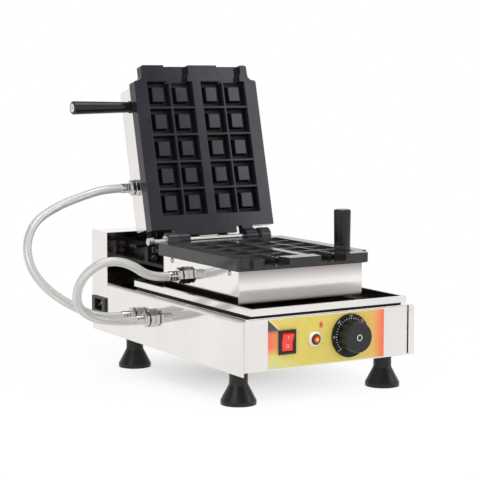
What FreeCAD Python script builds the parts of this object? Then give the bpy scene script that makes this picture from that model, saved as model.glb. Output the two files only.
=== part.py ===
import FreeCAD, Part
import math
import os
import re
import Sketcher

# A table-top waffle iron with two cast plates, a stainless base on rubber feet,
# a rear column, a drip tray and two flexible conduits.
# Lengths are millimetres and angles are degrees.
# The frame has +X to the right, +Y to the rear and +Z up, with the floor at z = 0.

SIZES = {
    # where the base stands in the frame
    "base_mid_x": 29.75,
    "base_front_y": -210,
    # shared clearances
    "seam": 0.3,
    "snug": 0.02,
    "running": 0.06,
    "overrun": 5,
    # rubber feet, inset from the base's corners
    "foot_height": 46.4,
    "foot_radius": 23.5,
    "foot_rim": 5,
    "foot_neck_radius": 12.25,
    "foot_neck_length": 20,
    "foot_flare": 10,
    "foot_recess_radius": 7,
    "foot_recess_depth": 12,
    "foot_inset_left": 14,
    "foot_inset_right": 27,
    "foot_inset_front": 35,
    "foot_inset_rear": 61,
    "foot_bolt_radius": 3,
    "foot_bolt_head_radius": 5.5,
    "foot_bolt_head": 4,
    "foot_nut": 5,
    # base housing
    "base_width": 270,
    "base_depth": 392,
    "base_height": 74,
    "skirt": 5.4,
    "sheet": 1.2,
    "bend": 6,
    "roll_drop": 8,
    "front_return": 20,
    "stile_width": 10.6,
    "stile_set": 2.2,
    "flange_width": 9,
    # rear column
    "column_depth": 52,
    "column_height": 150,
    "vent_count": 5,
    "vent_length": 120,
    "vent_height": 4,
    "vent_pitch": 12,
    # front label and controls
    "label_left": 37,
    "label_width": 182,
    "label_low": 7,
    "label_height": 64,
    "label_thick": 0.4,
    "control_height": 40.5,
    "switch_x": 65.25,
    "bezel_width": 25.5,
    "bezel_height": 31.5,
    "bezel_proud": 2.6,
    "switch_body_width": 21.5,
    "switch_body_height": 27.4,
    "switch_body_depth": 22,
    "rocker_width": 16.6,
    "rocker_reach": 12.2,
    "rocker_play": 0.4,
    "rocker_pivot_set": 2,
    "rocker_mid_proud": 3.6,
    "rocker_back": 4.5,
    "rocker_angle": 9,
    "rocker_pin_radius": 1.4,
    "rocker_pin_reach": 1.6,
    "rocker_well": 9,
    "lamp_x": 108,
    "lamp_bezel_radius": 10,
    "lamp_bezel_proud": 4,
    "lamp_lip": 1.2,
    "lamp_radius": 7,
    "lamp_lens_radius": 6.6,
    "lamp_lens_proud": 6.5,
    "lamp_depth": 24,
    "lamp_fit": 0.2,
    "dial_x": 163,
    "dial_radius": 29,
    "dial_thick": 3.4,
    "dial_edge": 1.4,
    "dial_gap": 1.2,
    "grip_radius": 21.5,
    "grip_taper": 1.6,
    "grip_length": 19,
    "grip_round": 1.5,
    "grip_flutes": 12,
    "grip_flute_radius": 2.4,
    "shaft_radius": 3,
    "shaft_bush_radius": 4.5,
    "shaft_set": 12,
    "thermostat_width": 36,
    "thermostat_height": 38,
    "thermostat_depth": 28,
    # power inlet on the column's left side
    "inlet_height": 40,
    "inlet_flange_length": 44,
    "inlet_flange_height": 23,
    "inlet_flange_thick": 3,
    "inlet_body_length": 28,
    "inlet_body_height": 20,
    "inlet_body_depth": 20,
    "inlet_mouth_length": 24.4,
    "inlet_mouth_height": 16.6,
    "inlet_mouth_depth": 17,
    "inlet_pin_thick": 2,
    "inlet_pin_height": 4,
    "inlet_pin_pitch": 7,
    "inlet_pin_offset": 2,
    "inlet_pin_recess": 5,
    # terminal block on the base floor, its place measured from the column
    "terminal_length": 62,
    "terminal_width": 26,
    "terminal_height": 19,
    "terminal_back": 92,
    # drip tray, its place measured from the column
    "tray_width": 245,
    "tray_depth": 326,
    "tray_back": 64,
    "tray_sheet": 1,
    "tray_hem": 5,
    "tray_lip_low": 3,
    "tray_lip_high": 11.5,
    "tray_rear_high": 5,
    # cast plates; the hinge pin's place is measured from the column
    "pin_back": 88,
    "pin_height": 143,
    "pin_radius": 4,
    "pin_setback": 16,
    "plate_gap": 0.8,
    "plate_width": 207,
    "plate_depth": 222,
    "plate_thick": 17,
    "plate_round": 4,
    "tab_width": 180,
    "tab_depth": 23,
    "tab_thick": 13,
    "tab_fillet": 9,
    "spout_inset": 4.5,
    "spout_root": 35,
    "spout_mouth": 41,
    "spout_depth": 9.5,
    "spout_round": 7,
    "waffle_width": 76,
    "waffle_bar": 14,
    "waffle_front": 1.5,
    "waffle_rear": 20.5,
    "cell_columns": 2,
    "cell_rows": 5,
    "cell_ridge": 2.4,
    "cell_depth": 13,
    "cell_draft": 7,
    "ridge_drop": 0.8,
    "stud_width": 18,
    "stud_length": 21,
    "stud_drop": 3.8,
    "stud_draft": 10,
    "rim_depth": 13,
    "rim_thick": 6,
    # hinge
    "knuckle_radius": 11.5,
    "lug_inner": 48,
    "lug_width": 18,
    "lug_play": 0.4,
    "lower_lug_width": 16,
    "right_lug_space": 7,
    "web_gap": 10,
    "web_clear": 2.5,
    "pin_head_radius": 7.5,
    "pin_head": 3,
    "thread_radius": 3,
    "thread_length": 30,
    "washer_radius": 8,
    "washer_thick": 2,
    "hinge_nut_radius": 5.8,
    "hinge_nut_length": 9,
    # casings of the two halves
    "casing_inset": 5,
    "casing_side_inset": 5.5,
    "lid_casing_height": 43,
    "lower_casing_height": 45.6,
    "casing_sheet": 1,
    "casing_round": 6,
    "casing_screw_radius": 1.9,
    "casing_screw_head_radius": 3.6,
    "casing_screw_head": 1.8,
    "casing_screw_length": 6,
    "casing_screw_inset": 26,
    "lid_screw_inset": 10,
    "casing_screw_drop": 5,
    "heater_radius": 4,
    "heater_inset": 26,
    "heater_bend": 22,
    "insulation_thick": 16,
    "insulation_gap": 3,
    # carrier between the column and the lower half
    "carrier_width": 140,
    "carrier_flange": 5,
    "carrier_rib": 6,
    "carrier_rib_apart": 90,
    "carrier_height": 27,
    "carrier_web": 5,
    "carrier_drop": 0.5,
    "carrier_bolt_radius": 3,
    "carrier_bolt_head_radius": 5.2,
    "carrier_bolt_head": 4,
    "carrier_bolt_length": 14,
    "carrier_nut": 5,
    "carrier_bolt_inset": 10,
    "stop_bar_depth": 22,
    "stop_bar_thick": 5,
    "stop_back": 44,
    "stop_radius": 8,
    "stop_apart": 76,
    # lid position
    "lid_open": 104,
    # left handle on the lid, set back from the casing's front
    "lid_handle_back": 29,
    "lid_handle_rise": 26,
    "lid_handle_start": 5,
    "lid_handle_length": 91.5,
    "lid_handle_root_radius": 7.75,
    "lid_handle_end_radius": 9.75,
    "lid_handle_round": 2,
    "lid_handle_stud_radius": 3.5,
    "lid_handle_stud_hold": 5,
    "lid_handle_collar_radius": 9,
    "lid_handle_ring_radius": 6.2,
    "lid_handle_ring_hole": 2.6,
    "lid_handle_ring_depth": 6,
    # right handle on the lower half, set back from the casing's front
    "side_handle_x": 117.5,
    "side_handle_back": 76,
    "side_handle_radius": 12.3,
    "side_handle_taper": 1.2,
    "side_handle_length": 96,
    "side_handle_round": 3,
    "side_handle_flutes": 10,
    "side_handle_flute_radius": 2.2,
    "side_handle_stud_radius": 4,
    "side_handle_stud_hold": 60,
    "side_handle_nut_radius": 7.4,
    "side_handle_nut": 6,
    "side_bracket_width": 30,
    "side_bracket_thick": 4,
    "side_bracket_rise": 24,
    "side_bracket_low": 92,
    "side_bracket_over": 10,
    # conduits and their glands
    "hose_radius": 6.25,
    "gland_nut_radius": 12,
    "gland_nut_length": 13,
    "gland_ferrule_radius": 7,
    "gland_ferrule_length": 15,
    "gland_thread_radius": 7.5,
    "gland_thread_length": 9,
    "gland_fit": 0.2,
    "casing_gland_back": 70,
    "casing_gland_drop": 21.5,
    "base_gland_height": 41.5,
    "base_gland_front": 247,
    "base_gland_rear": 290,
}

# The conduits' routes, point by point, chosen to follow their hanging loops.
LOWER_HOSE_ROUTE = [
    (-96.25, 8, 145.1),
    (-123.5, 8, 145.1),
    (-162.4, -3.2, 169.9),
    (-201.5, -4.5, 174.9),
    (-231, 5, 150.8),
    (-231.1, 21.1, 114.9),
    (-202.8, 32.3, 91.7),
    (-162, 37, 82.5),
    (-133.25, 37, 82.5),
]
UPPER_HOSE_ROUTE = [
    (-96.25, 152.55, 258.03),
    (-121, 152.55, 258.03),
    (-155, 150, 250.5),
    (-197, 145, 238.5),
    (-238.5, 136, 219.5),
    (-258, 125, 188.5),
    (-256, 113, 154),
    (-237, 101, 125),
    (-205, 89, 101),
    (-166, 80, 82.5),
    (-133.25, 80, 82.5),
]
ARC_SHARE = 0.45
SNAP = 1e-6

doc = FreeCAD.newDocument("waffle_maker")
sheet = doc.addObject("Spreadsheet::Sheet", "Sizes")
for row, (alias, value) in enumerate(SIZES.items(), start=1):
    sheet.set(f"A{row}", alias)
    sheet.set(f"B{row}", str(value))
    sheet.setAlias(f"B{row}", alias)
doc.recompute()

NODES = {}


def expr(text):
    """Point every size in an expression at its cell."""
    return re.sub(r"[a-z]\w*", lambda word: "Sizes." + word[0] if word[0] in SIZES else word[0], text)


def val(text):
    """Work out an expression's value now."""
    return float(sheet.evalExpression(text))


def bind(item, **sizes):
    for prop, text in sizes.items():
        item.setExpression(prop, expr(text))


def place(item, x="0", y="0", z="0"):
    for axis, text in zip("xyz", (x, y, z)):
        item.setExpression("Placement.Base." + axis, expr(text))


TURNS = {
    "Z": FreeCAD.Rotation(),
    "-Z": FreeCAD.Rotation(FreeCAD.Vector(1, 0, 0), 180),
    "X": FreeCAD.Rotation(FreeCAD.Vector(0, 1, 0), 90),
    "-X": FreeCAD.Rotation(FreeCAD.Vector(0, 1, 0), -90),
    "Y": FreeCAD.Rotation(FreeCAD.Vector(1, 0, 0), -90),
    "-Y": FreeCAD.Rotation(FreeCAD.Vector(1, 0, 0), 90),
}


def aim(item, axis, x, y, z):
    """Turn a piece made along +Z to an axis and put it in place."""
    item.Placement = FreeCAD.Placement(FreeCAD.Vector(), TURNS[axis])
    place(item, x, y, z)
    return item


def box(name, x, y, z, length, width, height):
    item = doc.addObject("Part::Box", name)
    bind(item, Length=length, Width=width, Height=height)
    place(item, x, y, z)
    return item


def rod(name, axis, x, y, z, radius, length):
    item = doc.addObject("Part::Cylinder", name)
    bind(item, Radius=radius, Height=length)
    return aim(item, axis, x, y, z)


def hexagon(name, axis, x, y, z, radius, length):
    item = doc.addObject("Part::Prism", name)
    item.Polygon = 6
    bind(item, Circumradius=radius, Height=length)
    return aim(item, axis, x, y, z)


def fuse(name, *parts):
    item = doc.addObject("Part::MultiFuse", name)
    item.Shapes = list(parts)
    item.Refine = True
    return item


def cut(name, base, *tools):
    item = doc.addObject("Part::Cut", name)
    item.Base = base
    item.Tool = tools[0] if len(tools) == 1 else fuse(name + "_tools", *tools)
    return item


def group(name, *parts):
    """Several separate solids in one node."""
    item = doc.addObject("Part::Compound", name)
    item.Links = list(parts)
    return item


def node(name, item):
    item.Label = name
    NODES[name] = item
    return item


def outline(body, name, plane, points):
    """A closed sketch whose corners are bound to the sheet."""
    item = body.newObject("Sketcher::SketchObject", name)
    support = next(face for face in body.Origin.OriginFeatures if face.Role == plane)
    item.AttachmentSupport = [(support, "")]
    item.MapMode = "FlatFace"
    spots = [FreeCAD.Vector(val(u), val(v), 0) for u, v in points]
    count = len(spots)
    for index in range(count):
        item.addGeometry(Part.LineSegment(spots[index], spots[(index + 1) % count]))
    for index in range(count):
        item.addConstraint(Sketcher.Constraint("Coincident", index, 2, (index + 1) % count, 1))
    for index, pair in enumerate(points):
        for kind, text in zip(("DistanceX", "DistanceY"), pair):
            rule = Sketcher.Constraint(kind, -1, 1, index, 1, val(text))
            item.setExpression(f"Constraints[{item.addConstraint(rule)}]", expr(text))
    return item


def padded(name, plane, points, length):
    """A flat outline given thickness along +X, +Y or +Z."""
    body = doc.addObject("PartDesign::Body", name)
    pad = body.newObject("PartDesign::Pad", name + "_pad")
    pad.Profile = outline(body, name + "_outline", plane, points)
    pad.Reversed = plane == "XZ_Plane"
    bind(pad, Length=length)
    body.Tip = pad
    doc.recompute()
    return body


def turned(name, points):
    """A radius and height outline turned about the local Z axis."""
    body = doc.addObject("PartDesign::Body", name)
    shape = body.newObject("PartDesign::Revolution", name + "_turn")
    shape.Profile = outline(body, name + "_outline", "XZ_Plane", points)
    shape.ReferenceAxis = (shape.Profile[0], ["V_Axis"])
    shape.Angle = 360
    body.Tip = shape
    doc.recompute()
    return body


def round_edges(body, radius, chosen):
    """Round the edges of a body that a test on their middle points picks."""
    base = body.Tip
    names = [
        f"Edge{index}"
        for index, edge in enumerate(base.Shape.Edges, start=1)
        if chosen(edge, edge.CenterOfMass)
    ]
    item = body.newObject("PartDesign::Fillet", f"{body.Name}_round_{base.Name}")
    item.Base = (base, names)
    bind(item, Radius=radius)
    body.Tip = item
    doc.recompute()
    return body


def at(value, text):
    return abs(value - val(text)) < SNAP


def circle_at(edge, radius, height):
    """Tell a full circle about the local Z axis by its radius and height."""
    curve = edge.Curve
    return isinstance(curve, Part.Circle) and at(curve.Radius, radius) and at(curve.Center.z, height)


def fluted(name, body, count, ring, radius, length):
    """Cut evenly spaced round flutes along the local Z axis."""
    tools = []
    for index in range(int(val(count))):
        share = f"(360 * {index} / {count})"
        tools.append(
            rod(
                f"{name}_flute_{index}", "Z",
                f"{ring} * cos({share})", f"{ring} * sin({share})", "-overrun",
                radius, f"{length} + 2 * overrun",
            )
        )
    return cut(name, body, group(name + "_flutes", *tools))


# Places that several pieces share.
LEFT = "(base_mid_x - base_width / 2)"
RIGHT = "(base_mid_x + base_width / 2)"
FRONT = "base_front_y"
REAR = "(base_front_y + base_depth)"
SIDE_LOW = "(foot_height - skirt)"
TOP = "(foot_height - skirt + base_height)"
LABEL_FACE = "(base_front_y - label_thick)"
CONTROL_Z = "(foot_height - skirt + control_height)"
PIN_Y = f"({REAR} - pin_back)"
PIN_Z = "(foot_height - skirt + pin_height)"
LOWER_FACE = f"({PIN_Z} - plate_gap / 2)"
UPPER_FACE = f"({PIN_Z} + plate_gap / 2)"
LOWER_BACK = f"({LOWER_FACE} - plate_thick)"
UPPER_BACK = f"({UPPER_FACE} + plate_thick)"
CASING_REAR = f"({PIN_Y} - pin_setback - casing_inset)"
CASING_DEPTH = "(plate_depth - 2 * casing_inset)"
CASING_FRONT = f"({CASING_REAR} - {CASING_DEPTH})"
CASING_WIDTH = "(plate_width - 2 * casing_side_inset)"
CASING_LEFT = f"(base_mid_x - {CASING_WIDTH} / 2)"
CASING_RIGHT = f"(base_mid_x + {CASING_WIDTH} / 2)"
GLAND_Y = f"({PIN_Y} - pin_setback - casing_gland_back)"
WAFFLE_LENGTH = "(plate_depth - waffle_front - waffle_rear)"
LID_TURN = (
    f"placement(vector(0; 0; 0); rotation(vector(1; 0; 0); -lid_open);"
    f" vector(0; {PIN_Y}; {PIN_Z}))"
)


def lid_node(name, *parts):
    """A piece drawn with the lid shut, then swung open about the hinge pin."""
    item = group(name, *parts)
    item.setExpression("Placement", expr(LID_TURN))
    return node(name, item)


# Rubber feet with their bolts.
def build_feet():
    columns = {"left": f"{LEFT} + foot_inset_left", "right": f"{RIGHT} - foot_inset_right"}
    rows = {"front": f"{FRONT} + foot_inset_front", "rear": f"{REAR} - foot_inset_rear"}
    bolts = []
    for row_name, y in rows.items():
        for column_name, x in columns.items():
            name = f"foot_{row_name}_{column_name}"
            foot = turned(
                name,
                [
                    ("foot_recess_radius", "0"),
                    ("foot_radius", "0"),
                    ("foot_radius", "foot_rim"),
                    ("foot_neck_radius", "foot_height - foot_neck_length"),
                    ("foot_neck_radius", "foot_height"),
                    ("foot_bolt_radius + seam", "foot_height"),
                    ("foot_bolt_radius + seam", "foot_recess_depth"),
                    ("foot_recess_radius", "foot_recess_depth"),
                ],
            )
            neck = "foot_height - foot_neck_length"
            round_edges(foot, "foot_flare", lambda edge, mid: circle_at(edge, "foot_neck_radius", neck))
            place(foot, x, y)
            node(name, foot)
            bolt = name + "_bolt"
            nut_z = "foot_height + sheet"
            head_z = "foot_recess_depth - foot_bolt_head"
            bolts.append(
                fuse(
                    bolt,
                    hexagon(bolt + "_head", "Z", x, y, head_z, "foot_bolt_head_radius", "foot_bolt_head"),
                    rod(bolt + "_shank", "Z", x, y, head_z,
                        "foot_bolt_radius", f"{nut_z} + foot_nut - ({head_z})"),
                    hexagon(bolt + "_nut", "Z", x, y, nut_z, "foot_bolt_head_radius", "foot_nut"),
                )
            )
    node("foot_bolts", group("foot_bolts", *bolts))
    return [(x, y) for y in rows.values() for x in columns.values()]


# Folded base: wrapper, service panel, floor and front panel.
def build_base(feet):
    wrapper = padded(
        "wrapper",
        "XZ_Plane",
        [
            (LEFT, SIDE_LOW),
            (LEFT, TOP),
            (RIGHT, TOP),
            (RIGHT, f"{TOP} - roll_drop"),
            (f"{RIGHT} - sheet", f"{TOP} - roll_drop"),
            (f"{RIGHT} - sheet", f"{TOP} - sheet"),
            (f"{LEFT} + sheet", f"{TOP} - sheet"),
            (f"{LEFT} + sheet", SIDE_LOW),
        ],
        "base_depth - seam",
    )
    round_edges(wrapper, "bend", lambda edge, mid: at(mid.z, TOP) and (at(mid.x, LEFT) or at(mid.x, RIGHT)))
    inner = (f"{LEFT} + sheet", f"{RIGHT} - sheet")
    round_edges(
        wrapper, "bend - sheet",
        lambda edge, mid: at(mid.z, f"{TOP} - sheet") and any(at(mid.x, x) for x in inner),
    )
    place(wrapper, y=FRONT)
    holes = [
        rod(f"base_gland_hole_{key}", "X", f"{LEFT} - overrun", f"{FRONT} + base_gland_{key}",
            f"{SIDE_LOW} + base_gland_height", "gland_thread_radius + gland_fit", "sheet + 2 * overrun")
        for key in ("front", "rear")
    ]
    roll_end = padded(
        "roll_end",
        "XZ_Plane",
        [
            (f"{RIGHT} - flange_width", f"{TOP} - roll_drop"),
            (f"{RIGHT} - flange_width", f"{TOP} - sheet / 2"),
            (f"{RIGHT} - sheet / 2", f"{TOP} - sheet / 2"),
            (f"{RIGHT} - sheet / 2", f"{TOP} - roll_drop"),
        ],
        "sheet",
    )
    round_edges(
        roll_end, "bend - sheet / 2",
        lambda edge, mid: at(mid.z, f"{TOP} - sheet / 2") and at(mid.x, f"{RIGHT} - sheet / 2"),
    )
    place(roll_end, y=FRONT)
    node("base_shell", cut("base_shell", fuse("wrapper_closed", wrapper, roll_end), *holes))

    panel_height = f"({TOP} - roll_drop - seam - foot_height)"
    wall = box("service_wall", f"{RIGHT} - sheet", FRONT, "foot_height",
               "sheet", "base_depth - seam", panel_height)
    flange = box("service_flange", f"{RIGHT} - flange_width", FRONT, "foot_height",
                 "flange_width", "sheet", panel_height)
    node("right_side_panel", fuse("right_side_panel", wall, flange))

    set_back = "(stile_set + sheet + seam)"
    floor = box("floor_sheet", f"{LEFT} + sheet + seam", f"{FRONT} + {set_back}", "foot_height",
                "base_width - 2 * sheet - 2 * seam", f"base_depth - {set_back} - seam", "sheet")
    bores = [
        rod(f"floor_bore_{index}", "Z", x, y, "foot_height - overrun",
            "foot_bolt_radius + seam", "sheet + 2 * overrun")
        for index, (x, y) in enumerate(feet)
    ]
    node("bottom_plate", cut("bottom_plate", floor, *bores))

    start = f"{LEFT} + sheet + seam"
    turn = f"{RIGHT} - front_return"
    panel = padded(
        "front_sheet",
        "XY_Plane",
        [
            (start, FRONT),
            (turn, FRONT),
            (f"{turn} + stile_width", f"{FRONT} + stile_set"),
            (f"{turn} + stile_width", f"{FRONT} + stile_set + sheet"),
            (turn, f"{FRONT} + sheet"),
            (start, f"{FRONT} + sheet"),
        ],
        f"{TOP} - sheet - seam - foot_height",
    )
    place(panel, z="foot_height")
    label = box("label_sheet", f"{LEFT} + label_left", LABEL_FACE, f"{SIDE_LOW} + label_low",
                "label_width", "label_thick", "label_height")
    through = "sheet + label_thick + 2 * overrun"
    openings = group(
        "front_openings",
        box("switch_opening", f"{LEFT} + switch_x - switch_body_width / 2 - seam", f"{FRONT} - overrun",
            f"{CONTROL_Z} - switch_body_height / 2 - seam",
            "switch_body_width + 2 * seam", through, "switch_body_height + 2 * seam"),
        rod("lamp_opening", "Y", f"{LEFT} + lamp_x", f"{FRONT} - overrun", CONTROL_Z,
            "lamp_radius + lamp_fit", through),
        rod("shaft_opening", "Y", f"{LEFT} + dial_x", f"{FRONT} - overrun", CONTROL_Z,
            "shaft_bush_radius + lamp_fit", through),
    )
    node("front_panel", cut("front_panel", panel, openings))
    node("control_label", cut("control_label", label, openings))


# Rear column: folded shell and a screwed-on back with vents.
def build_column():
    height = "column_height"
    outer = box("column_outer", LEFT, REAR, SIDE_LOW, "base_width", "column_depth", height)
    hollow = box("column_hollow", f"{LEFT} + sheet", f"{REAR} + sheet", f"{SIDE_LOW} - overrun",
                 "base_width - 2 * sheet", "column_depth", f"{height} - sheet + overrun")
    mouth = box("inlet_opening", f"{LEFT} - overrun", f"{INLET_Y} - inlet_body_length / 2 - seam",
                f"{INLET_Z} - inlet_body_height / 2 - seam", "sheet + 2 * overrun",
                "inlet_body_length + 2 * seam", "inlet_body_height + 2 * seam")
    bores = [
        rod(f"column_bore_{index}", "Y", x, f"{REAR} - overrun", z,
            "carrier_bolt_radius + seam", "sheet + 2 * overrun")
        for index, (x, z) in enumerate(carrier_bolt_places())
    ]
    node("column_shell", cut("column_shell", outer, hollow, mouth, *bores))

    inside = "(base_width - 2 * sheet - 2 * seam)"
    back = box("back_sheet", f"{LEFT} + sheet + seam", f"{REAR} + column_depth - sheet", SIDE_LOW,
               inside, "sheet", f"{height} - sheet - seam")
    foot = box("back_floor", f"{LEFT} + sheet + seam", f"{REAR} + sheet + seam", SIDE_LOW,
               inside, "column_depth - sheet - seam", "sheet")
    vents = [
        box(f"vent_{index}", "base_mid_x - vent_length / 2", f"{REAR} + column_depth - sheet - overrun",
            f"{SIDE_LOW} + {height} / 2 + ({index} - (vent_count - 1) / 2) * vent_pitch - vent_height / 2",
            "vent_length", "sheet + 2 * overrun", "vent_height")
        for index in range(int(val("vent_count")))
    ]
    node("column_back_cover", cut("column_back_cover", fuse("back_fold", back, foot), group("vents", *vents)))


INLET_Y = f"({REAR} + column_depth / 2)"
INLET_Z = f"({SIDE_LOW} + inlet_height)"


# Power inlet with its three blades, and the terminal block inside the base.
def build_power():
    flange = box("inlet_flange", f"{LEFT} - inlet_flange_thick", f"{INLET_Y} - inlet_flange_length / 2",
                 f"{INLET_Z} - inlet_flange_height / 2",
                 "inlet_flange_thick", "inlet_flange_length", "inlet_flange_height")
    body = box("inlet_body", f"{LEFT} - inlet_flange_thick", f"{INLET_Y} - inlet_body_length / 2",
               f"{INLET_Z} - inlet_body_height / 2",
               "inlet_flange_thick + inlet_body_depth", "inlet_body_length", "inlet_body_height")
    mouth = box("inlet_mouth", f"{LEFT} - inlet_flange_thick - overrun",
                f"{INLET_Y} - inlet_mouth_length / 2", f"{INLET_Z} - inlet_mouth_height / 2",
                "inlet_mouth_depth + overrun", "inlet_mouth_length", "inlet_mouth_height")
    node("power_inlet", cut("power_inlet", fuse("inlet_block", flange, body), mouth))
    blades = []
    for index in range(3):
        side = index - 1
        lift = "inlet_pin_offset" if side == 0 else "(-inlet_pin_offset)"
        blades.append(
            box(f"inlet_blade_{index}", f"{LEFT} - inlet_flange_thick + inlet_pin_recess",
                f"{INLET_Y} + {side} * inlet_pin_pitch - inlet_pin_thick / 2",
                f"{INLET_Z} + {lift} - inlet_pin_height / 2",
                "inlet_mouth_depth - inlet_pin_recess", "inlet_pin_thick", "inlet_pin_height")
        )
    node("inlet_blades", group("inlet_blades", *blades))
    block = box("terminal_block", "base_mid_x - terminal_length / 2", f"{REAR} - terminal_back",
                "foot_height + sheet", "terminal_length", "terminal_width", "terminal_height")
    node("terminal_block", block)


# Rocker switch: a framed housing and a rocker on two stub pins.
def build_switch():
    x = f"({LEFT} + switch_x)"
    frame = box("switch_frame", f"{x} - bezel_width / 2", f"{LABEL_FACE} - bezel_proud",
                f"{CONTROL_Z} - bezel_height / 2", "bezel_width", "bezel_proud", "bezel_height")
    body = box("switch_body", f"{x} - switch_body_width / 2", LABEL_FACE,
               f"{CONTROL_Z} - switch_body_height / 2",
               "switch_body_width", "label_thick + switch_body_depth", "switch_body_height")
    well = box("switch_well", f"{x} - rocker_width / 2 - rocker_play",
               f"{LABEL_FACE} - bezel_proud - overrun", f"{CONTROL_Z} - rocker_reach - rocker_play",
               "rocker_width + 2 * rocker_play", "bezel_proud + overrun + rocker_well",
               "2 * rocker_reach + 2 * rocker_play")
    pivot_y = f"({LABEL_FACE} + rocker_pivot_set)"
    pin_span = "(rocker_width + 2 * rocker_pin_reach)"
    socket = rod("switch_socket", "X", f"{x} - {pin_span} / 2 - running", pivot_y, CONTROL_Z,
                 "rocker_pin_radius + running", f"{pin_span} + 2 * running")
    node("switch_housing", cut("switch_housing", fuse("switch_block", frame, body), well, socket))

    rise = "(rocker_mid_proud + rocker_reach * tan(rocker_angle))"
    wedge = padded(
        "rocker_wedge",
        "YZ_Plane",
        [
            ("-rocker_mid_proud", "0"),
            (f"-{rise}", "rocker_reach"),
            ("rocker_back", "rocker_reach"),
            ("rocker_back", "-rocker_reach"),
            (f"-{rise}", "-rocker_reach"),
        ],
        "rocker_width",
    )
    place(wedge, "-rocker_width / 2")
    drum = rod("rocker_drum", "X", "-rocker_width / 2", "0", "0", "rocker_reach", "rocker_width")
    key = doc.addObject("Part::Common", "rocker_key")
    key.Base = wedge
    key.Tool = drum
    pins = rod("rocker_pins", "X", f"-{pin_span} / 2", "0", "0", "rocker_pin_radius", pin_span)
    rocker = fuse("switch_rocker", key, pins)
    rest = f"placement(vector({x}; {pivot_y}; {CONTROL_Z}); rotation(vector(1; 0; 0); rocker_angle))"
    rocker.setExpression("Placement", expr(rest))
    node("switch_rocker", rocker)


# Pilot lamp: threaded body, ring and lens.
def build_lamp():
    x = f"{LEFT} + lamp_x"
    ring = turned(
        "lamp_ring",
        [
            ("lamp_radius + lamp_fit", "0"),
            ("lamp_bezel_radius", "0"),
            ("lamp_bezel_radius", "lamp_bezel_proud / 2"),
            ("lamp_radius + lamp_lip", "lamp_bezel_proud"),
            ("lamp_radius + lamp_fit", "lamp_bezel_proud"),
        ],
    )
    node("lamp_bezel", aim(ring, "-Y", x, LABEL_FACE, CONTROL_Z))
    node("lamp_body", rod("lamp_body", "Y", x, LABEL_FACE, CONTROL_Z, "lamp_radius", "lamp_depth"))
    lens = turned(
        "lamp_dome",
        [
            ("0", "0"),
            ("lamp_lens_radius", "0"),
            ("lamp_lens_radius", "lamp_lens_proud"),
            ("0", "lamp_lens_proud"),
        ],
    )
    round_edges(lens, "lamp_lens_radius / 2",
                lambda edge, mid: circle_at(edge, "lamp_lens_radius", "lamp_lens_proud"))
    node("lamp_lens", aim(lens, "-Y", x, LABEL_FACE, CONTROL_Z))


# Thermostat with its shaft, printed skirt and fluted grip.
def build_thermostat():
    x = f"({LEFT} + dial_x)"
    case = box("thermostat_case", f"{x} - thermostat_width / 2", f"{FRONT} + sheet",
               f"{CONTROL_Z} - thermostat_height / 2",
               "thermostat_width", "thermostat_depth", "thermostat_height")
    bush = rod("thermostat_bush", "Y", x, LABEL_FACE, CONTROL_Z,
               "shaft_bush_radius", "label_thick + 2 * sheet")
    bore = rod("thermostat_bore", "Y", x, f"{LABEL_FACE} - overrun", CONTROL_Z,
               "shaft_radius + running", "overrun + label_thick + shaft_set + running")
    node("thermostat_body", cut("thermostat_body", fuse("thermostat_block", case, bush), bore))
    reach = "(dial_gap + dial_thick + grip_length / 2)"
    node("thermostat_shaft", rod("thermostat_shaft", "Y", x, f"{LABEL_FACE} - {reach}", CONTROL_Z,
                                 "shaft_radius", f"{reach} + label_thick + shaft_set"))
    skirt = turned(
        "dial_disc",
        [
            ("shaft_radius + snug", "0"),
            ("dial_radius", "0"),
            ("dial_radius", "dial_edge"),
            ("grip_radius", "dial_thick"),
            ("shaft_radius + snug", "dial_thick"),
        ],
    )
    node("knob_skirt", aim(skirt, "-Y", x, f"{LABEL_FACE} - dial_gap", CONTROL_Z))
    knob = turned(
        "grip_form",
        [
            ("shaft_radius + snug", "0"),
            ("grip_radius", "0"),
            ("grip_radius - grip_taper", "grip_length"),
            ("0", "grip_length"),
            ("0", "grip_length / 2"),
            ("shaft_radius + snug", "grip_length / 2"),
        ],
    )
    round_edges(knob, "grip_round",
                lambda edge, mid: circle_at(edge, "grip_radius - grip_taper", "grip_length"))
    grip = fluted("knob_grip", knob, "grip_flutes", "(grip_radius + grip_flute_radius / 4)",
                  "grip_flute_radius", "grip_length")
    node("knob_grip", aim(grip, "-Y", x, f"{LABEL_FACE} - dial_gap - dial_thick", CONTROL_Z))


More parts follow.
